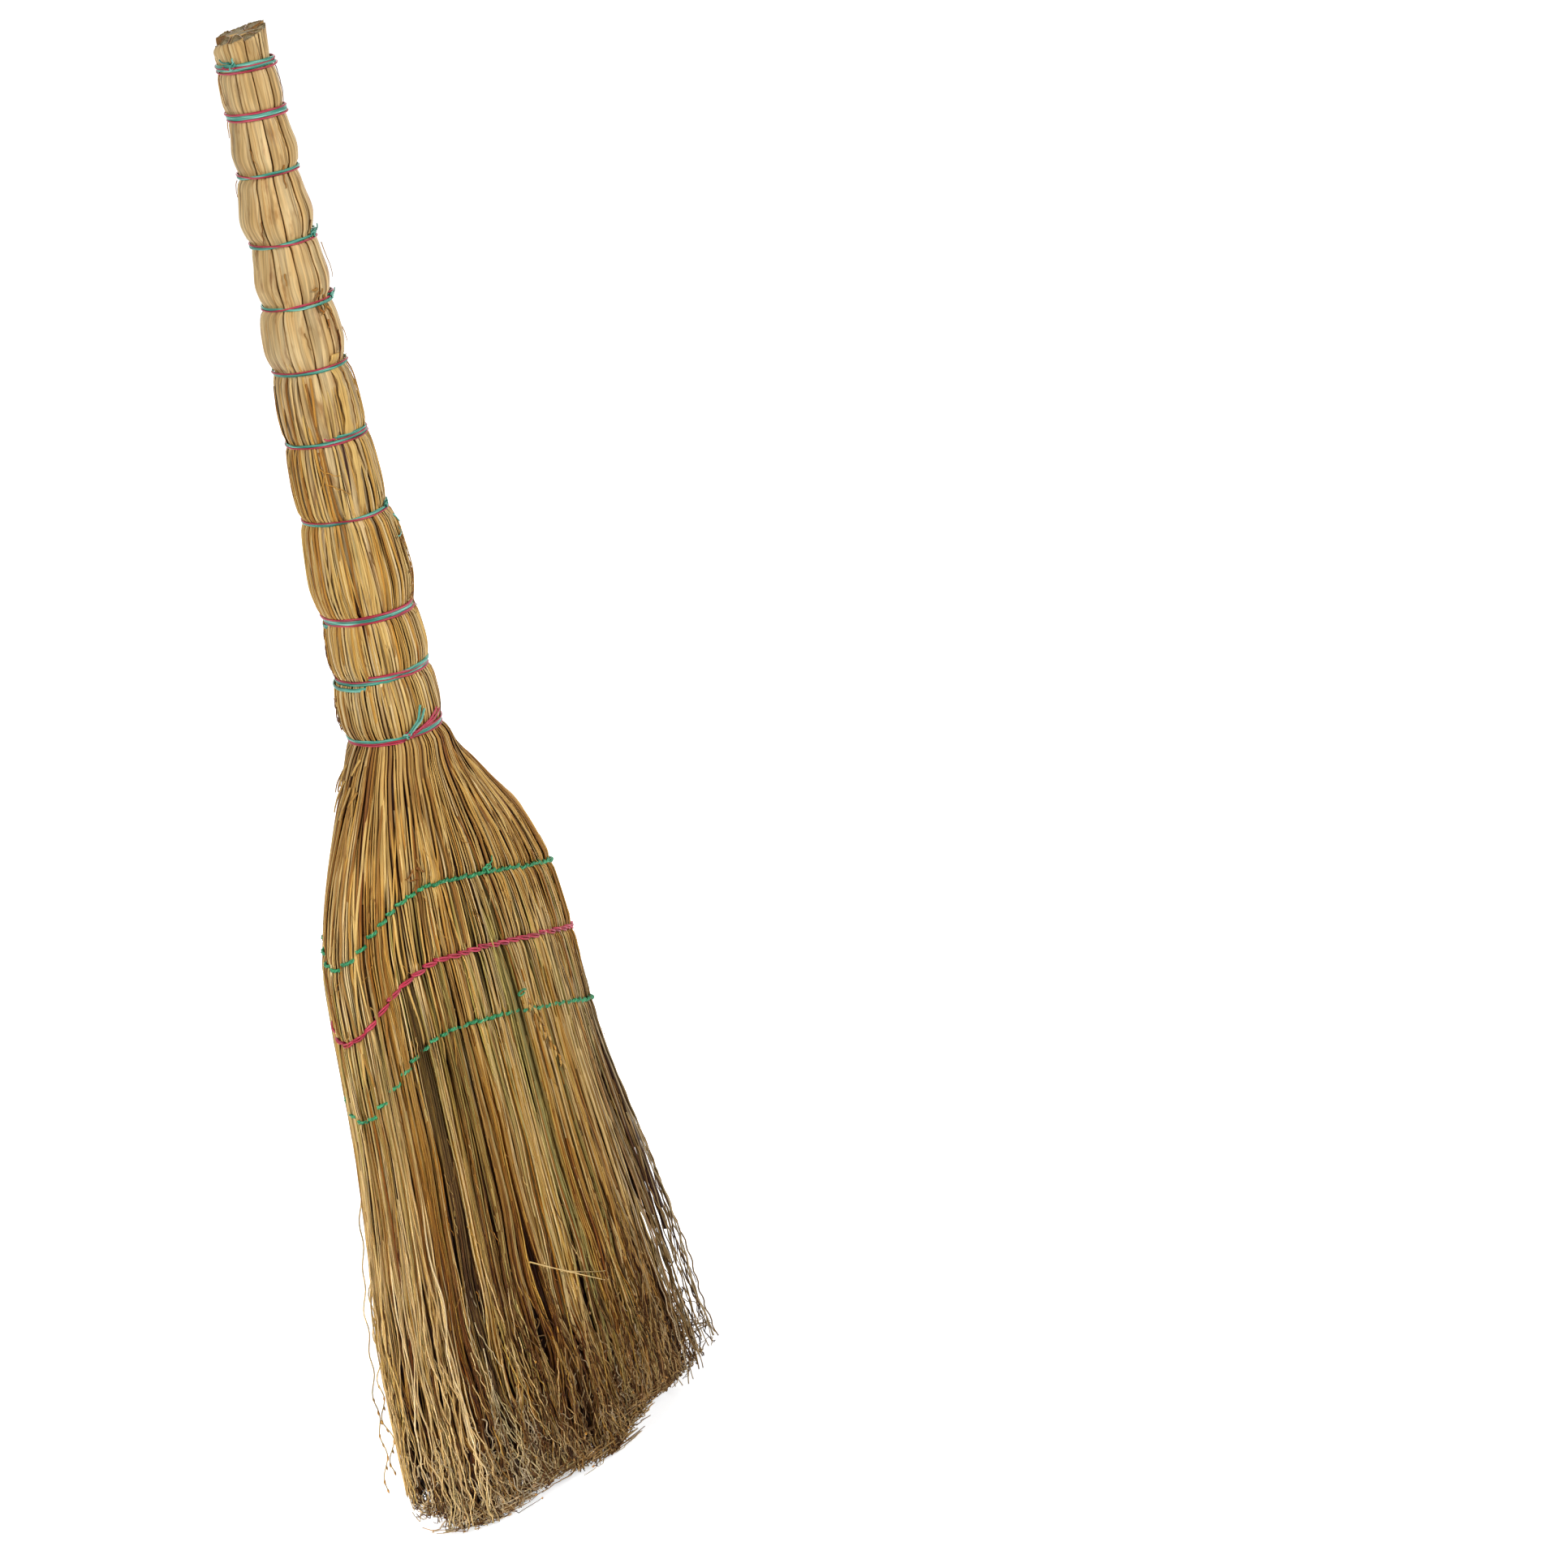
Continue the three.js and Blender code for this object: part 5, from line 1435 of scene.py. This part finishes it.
# The sleeve is a hollow between two lips, and its middle strand is painted nearly black as the hollow's shade. Angle
# at its foot and at its top, half width, depth and shade.
height = np.linspace(573, 523, 30)
for low_angle, high_angle, most, sunk_in, light in ((304, 300, 2.4, 0.1, 0.04), (297, 294, 0.9, -0.6, 0.95),
                                                    (311, 306, 1.0, -1.0, 0.9)):
    path, out = surface(shares_of(np.linspace(high_angle, low_angle, 30), height), height, sunk_in)
    half_width = most * leaf * (1 + 0.2 * np.sin(height / 2.1))
    sets.append(one_strand(path, out, half_width, 0.35, sides=6, tone=0.5, shade=light))
crossing = scraps(own, shares_of([201, 206, 212], 610), [615, 606, 611], [13, 15, 9], [-38, -25, -120],
                  [0.3, -0.3, 0.2], [1.0, 0.8, 0.8])
sets.append(scrap_strands(crossing, np.full(3, 0.4), np.full(3, 0.3)))
make_piece("torn_sheath_strip", sets, [straw_skin], "bunch_straw", seed=85)

# %% Stray straw, seed strands, seed braid and a scrap of green film
t = np.linspace(0, 1, 30)
share = share_of(250, 140) + (share_of(276, 103) - share_of(250, 140)) * t
stray = surface(share, 141 - 38 * t, -2.2 - 1.4 * np.sin(math.pi * t))
fork_run = np.linspace(0, 1, 18)
fork = surface(share[12:] + 0.004 * fork_run, (141 - 38 * t)[12:] + 5 * fork_run**1.5, -2.6)
sets = [one_strand(path, out, np.linspace(0.45, 0.25, len(path)), tone=0.62) for path, out in (stray, fork)]

hang_heights, hang_aways = [22, 43, 68, 93, 142, 190, 237], [15.5, 13.3, 11.2, 10.4, 6.6, 3.3, -4.7]
side_angle = math.radians(150)
drop = np.linspace(0, 1, 60)
for shift, foot_at, wave in ((0.0, 24, 1.0), (4.0, 34, 1.6)):
    level = 237 + (foot_at - 237) * drop
    away = np.interp(level, hang_heights, hang_aways) - shift
    middle, width, depth = outline(level)
    swing = wave * (0.4 + drop) * (np.sin(level / 4.1 + shift) + 0.6 * np.sin(level / 9.7))
    path = np.stack([middle + width * math.cos(side_angle) - 0.68 * (away + swing),
                     depth * math.sin(side_angle) + 0.73 * (away + swing), level], axis=-1)
    out = np.broadcast_to([-0.68, 0.73, 0.0], path.shape)
    sets.append(one_strand(path, out, np.linspace(0.5, 0.34, 60), tone=0.6, age=0.2))
    fat = np.array([0.25, 0.8, 1.0, 0.7, 0.15])
    for k in range(9):
        way = (-1) ** k
        at = path[-1 - 2 * k] + [0.8 * way, 0.8 * way, 0]
        seed_line = at + np.linspace(0, 1, 5)[:, None] * np.array([0.5 * way, 0, -3.4])
        sets.append(one_strand(seed_line, out[:5], fat, fat * 0.7, tone=0.35, shade=0.85))

t = np.linspace(0, 1, 6)
fat = np.array([0.3, 0.75, 1.0, 0.85, 0.55, 0.15])
for k in range(15):
    f = k / 14
    level = 284 - 48 * f
    lean = 2.1 * (-1) ** k * (1 - 0.4 * f)
    share = share_of(276.8 + 9.5 * f, level) + (lean * (0.3 + 0.7 * t)) / girth(level)
    path, out = surface(share, level - 5.0 * t, -1.2 - 0.7 * np.sin(math.pi * t))
    sets.append(one_strand(path, out, fat, fat * 0.6, tone=0.3 + 0.25 * (k % 3) / 2, shade=0.9))
make_piece("stray_straw_and_seeds", sets, [straw_skin], "bunch_straw", seed=86)

scrap_path = scraps(own, shares_of([301, 304], 575), [577, 570], [9, 11], [-80, -110], [0.9, -1.6], [1.5, 1.9])
part = scrap_strands(scrap_path, np.array([0.9, 0.7]), 0.5, flat=0.35)
make_piece("green_film_scrap", [part], [green_film], "twine_green", seed=87)

# %% [markdown]
# ## Floor, light and camera
# The photograph was taken on white, in soft light from both sides of the camera. The floor is white paper. For the
# camera alone it also glows a little, so that it reads as pure white and still keeps the soft shadow under the tips.
# The world does the same: it looks white, but lights the broom only faintly. Two large soft lamps stand in front, one
# behind gives the edges of the straws their rim, and a small low one reaches the tips. A single lamp would be simpler,
# but leaves one side of the round handle black.

# %% Floor and surroundings
def seen_share(tree):
    """1 where the camera looks straight, by a mirror or through glass, and 0 for all other light."""
    rays = add(tree, "ShaderNodeLightPath").outputs
    straight, mirrored, through = (rays[f"Is {kind} Ray"] for kind in ("Camera", "Glossy", "Transmission"))
    seen = add(tree, "ShaderNodeMath", {0: straight, 1: mirrored}, operation="MAXIMUM").outputs[0]
    return add(tree, "ShaderNodeMath", {0: seen, 1: through}, operation="MAXIMUM").outputs[0]


paper = bpy.data.materials.new("white_paper_backdrop")
tree = empty_tree(paper)
seen = seen_share(tree)
place = add(tree, "ShaderNodeNewGeometry").outputs["Position"]
away = add(tree, "ShaderNodeVectorMath", {0: place}, operation="LENGTH").outputs["Value"]
wider = add(tree, "ShaderNodeMapRange", {0: away, 1: 0.25, 2: 0.9, 3: 0.63, 4: 0.95}).outputs[0]
glow_strength = add(tree, "ShaderNodeMath", {0: seen, 1: wider}, operation="MULTIPLY").outputs[0]
glow = add(tree, "ShaderNodeEmission", {"Color": (1, 1, 1, 1), "Strength": glow_strength}).outputs[0]
matte = add(tree, "ShaderNodeBsdfDiffuse", {"Color": linear("#EDEDED")}).outputs[0]
both = add(tree, "ShaderNodeAddShader", {0: matte, 1: glow}).outputs[0]
add(tree, "ShaderNodeOutputMaterial", {"Surface": both})

floor_half, floor_level = 6, -0.0005
floor_mesh = bpy.data.meshes.new("floor")
corners = [(x * floor_half, y * floor_half, floor_level) for x, y in ((-1, -1), (1, -1), (1, 1), (-1, 1))]
floor_mesh.from_pydata(corners, [], [(0, 1, 2, 3)])
floor_mesh.materials.append(paper)
floor = bpy.data.objects.new("floor", floor_mesh)
bpy.context.scene.collection.objects.link(floor)
floor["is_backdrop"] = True

world = bpy.data.worlds.new("white_studio")
bpy.context.scene.world = world
tree = empty_tree(world)
sky_strength = add(tree, "ShaderNodeMapRange", {0: seen_share(tree), 1: 0.0, 2: 1.0, 3: 0.2, 4: 1.0}).outputs[0]
sky = add(tree, "ShaderNodeBackground", {"Color": (1, 1, 1, 1), "Strength": sky_strength}).outputs[0]
add(tree, "ShaderNodeOutputWorld", {"Surface": sky})
print("floor", floor_half * 2, "m wide, world", world.name)

# %% Lamps
def lamp(name, azimuth, elevation, distance, size, watts, aim_height=0.42, spread=180):
    """A soft square lamp that faces the broom."""
    aim = Vector((-0.01, 0, aim_height))
    a, e = math.radians(azimuth), math.radians(elevation)
    place = aim + distance * Vector((math.cos(a) * math.cos(e), math.sin(a) * math.cos(e), math.sin(e)))
    data = bpy.data.lights.new(name, "AREA")
    data.shape = "SQUARE"
    data.size, data.energy, data.spread = size, watts, math.radians(spread)
    made = bpy.data.objects.new(name, data)
    made.location = place
    made.rotation_euler = (aim - place).to_track_quat("-Z", "Y").to_euler()
    bpy.context.scene.collection.objects.link(made)
    print(name, round(watts, 1), "W at", [round(v, 2) for v in place])


lamp("key_light", camera_side + 55, 28, 3.0, 0.8, 62)
lamp("fill_light", camera_side - 46, 24, 3.0, 1.0, 50)
lamp("back_light", camera_side + 178, 30, 3.2, 1.4, 28)
lamp("foot_light", camera_side - 38, 14, 2.2, 0.5, 0.8, aim_height=-0.06, spread=20)

# %% Camera
# The photograph looks down a little from the broom's front left, and the camera is rolled, so the broom leans.
camera_azimuth = math.radians(-47)
camera_place = Vector((-1916.5, -1773.2, 1215.0)) * mm
aim_aside, aim_middle, aim_height = 208.8, -15, 370.6
camera_aim = Vector((aim_aside * math.cos(camera_azimuth) + aim_middle, aim_aside * math.sin(camera_azimuth),
                     aim_height)) * mm
camera_roll = -0.19578
focal_pixels, picture_pixels = 5908.6, 1932
sensor_mm = 36
forward = (camera_aim - camera_place).normalized()
right_way = forward.cross(Vector((0, 0, 1))).normalized()
up_way = right_way.cross(forward)
c, s = math.cos(camera_roll), math.sin(camera_roll)
right_way, up_way = c * right_way + s * up_way, c * up_way - s * right_way
camera_data = bpy.data.cameras.new("camera")
camera_data.sensor_width = sensor_mm
camera_data.lens = sensor_mm * focal_pixels / picture_pixels
camera = bpy.data.objects.new("camera", camera_data)
camera.matrix_world = Matrix((
    (right_way.x, up_way.x, -forward.x, camera_place.x),
    (right_way.y, up_way.y, -forward.y, camera_place.y),
    (right_way.z, up_way.z, -forward.z, camera_place.z),
    (0, 0, 0, 1)))
bpy.context.scene.collection.objects.link(camera)
bpy.context.scene.camera = camera
bpy.context.scene.view_settings.view_transform = "Standard"
print("lens", round(camera_data.lens, 1), "mm")

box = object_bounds()
for what, corners in (("CAD box", cad_box), ("visual box", box)):
    print(what, [[round(v, 4) for v in corner] for corner in corners])
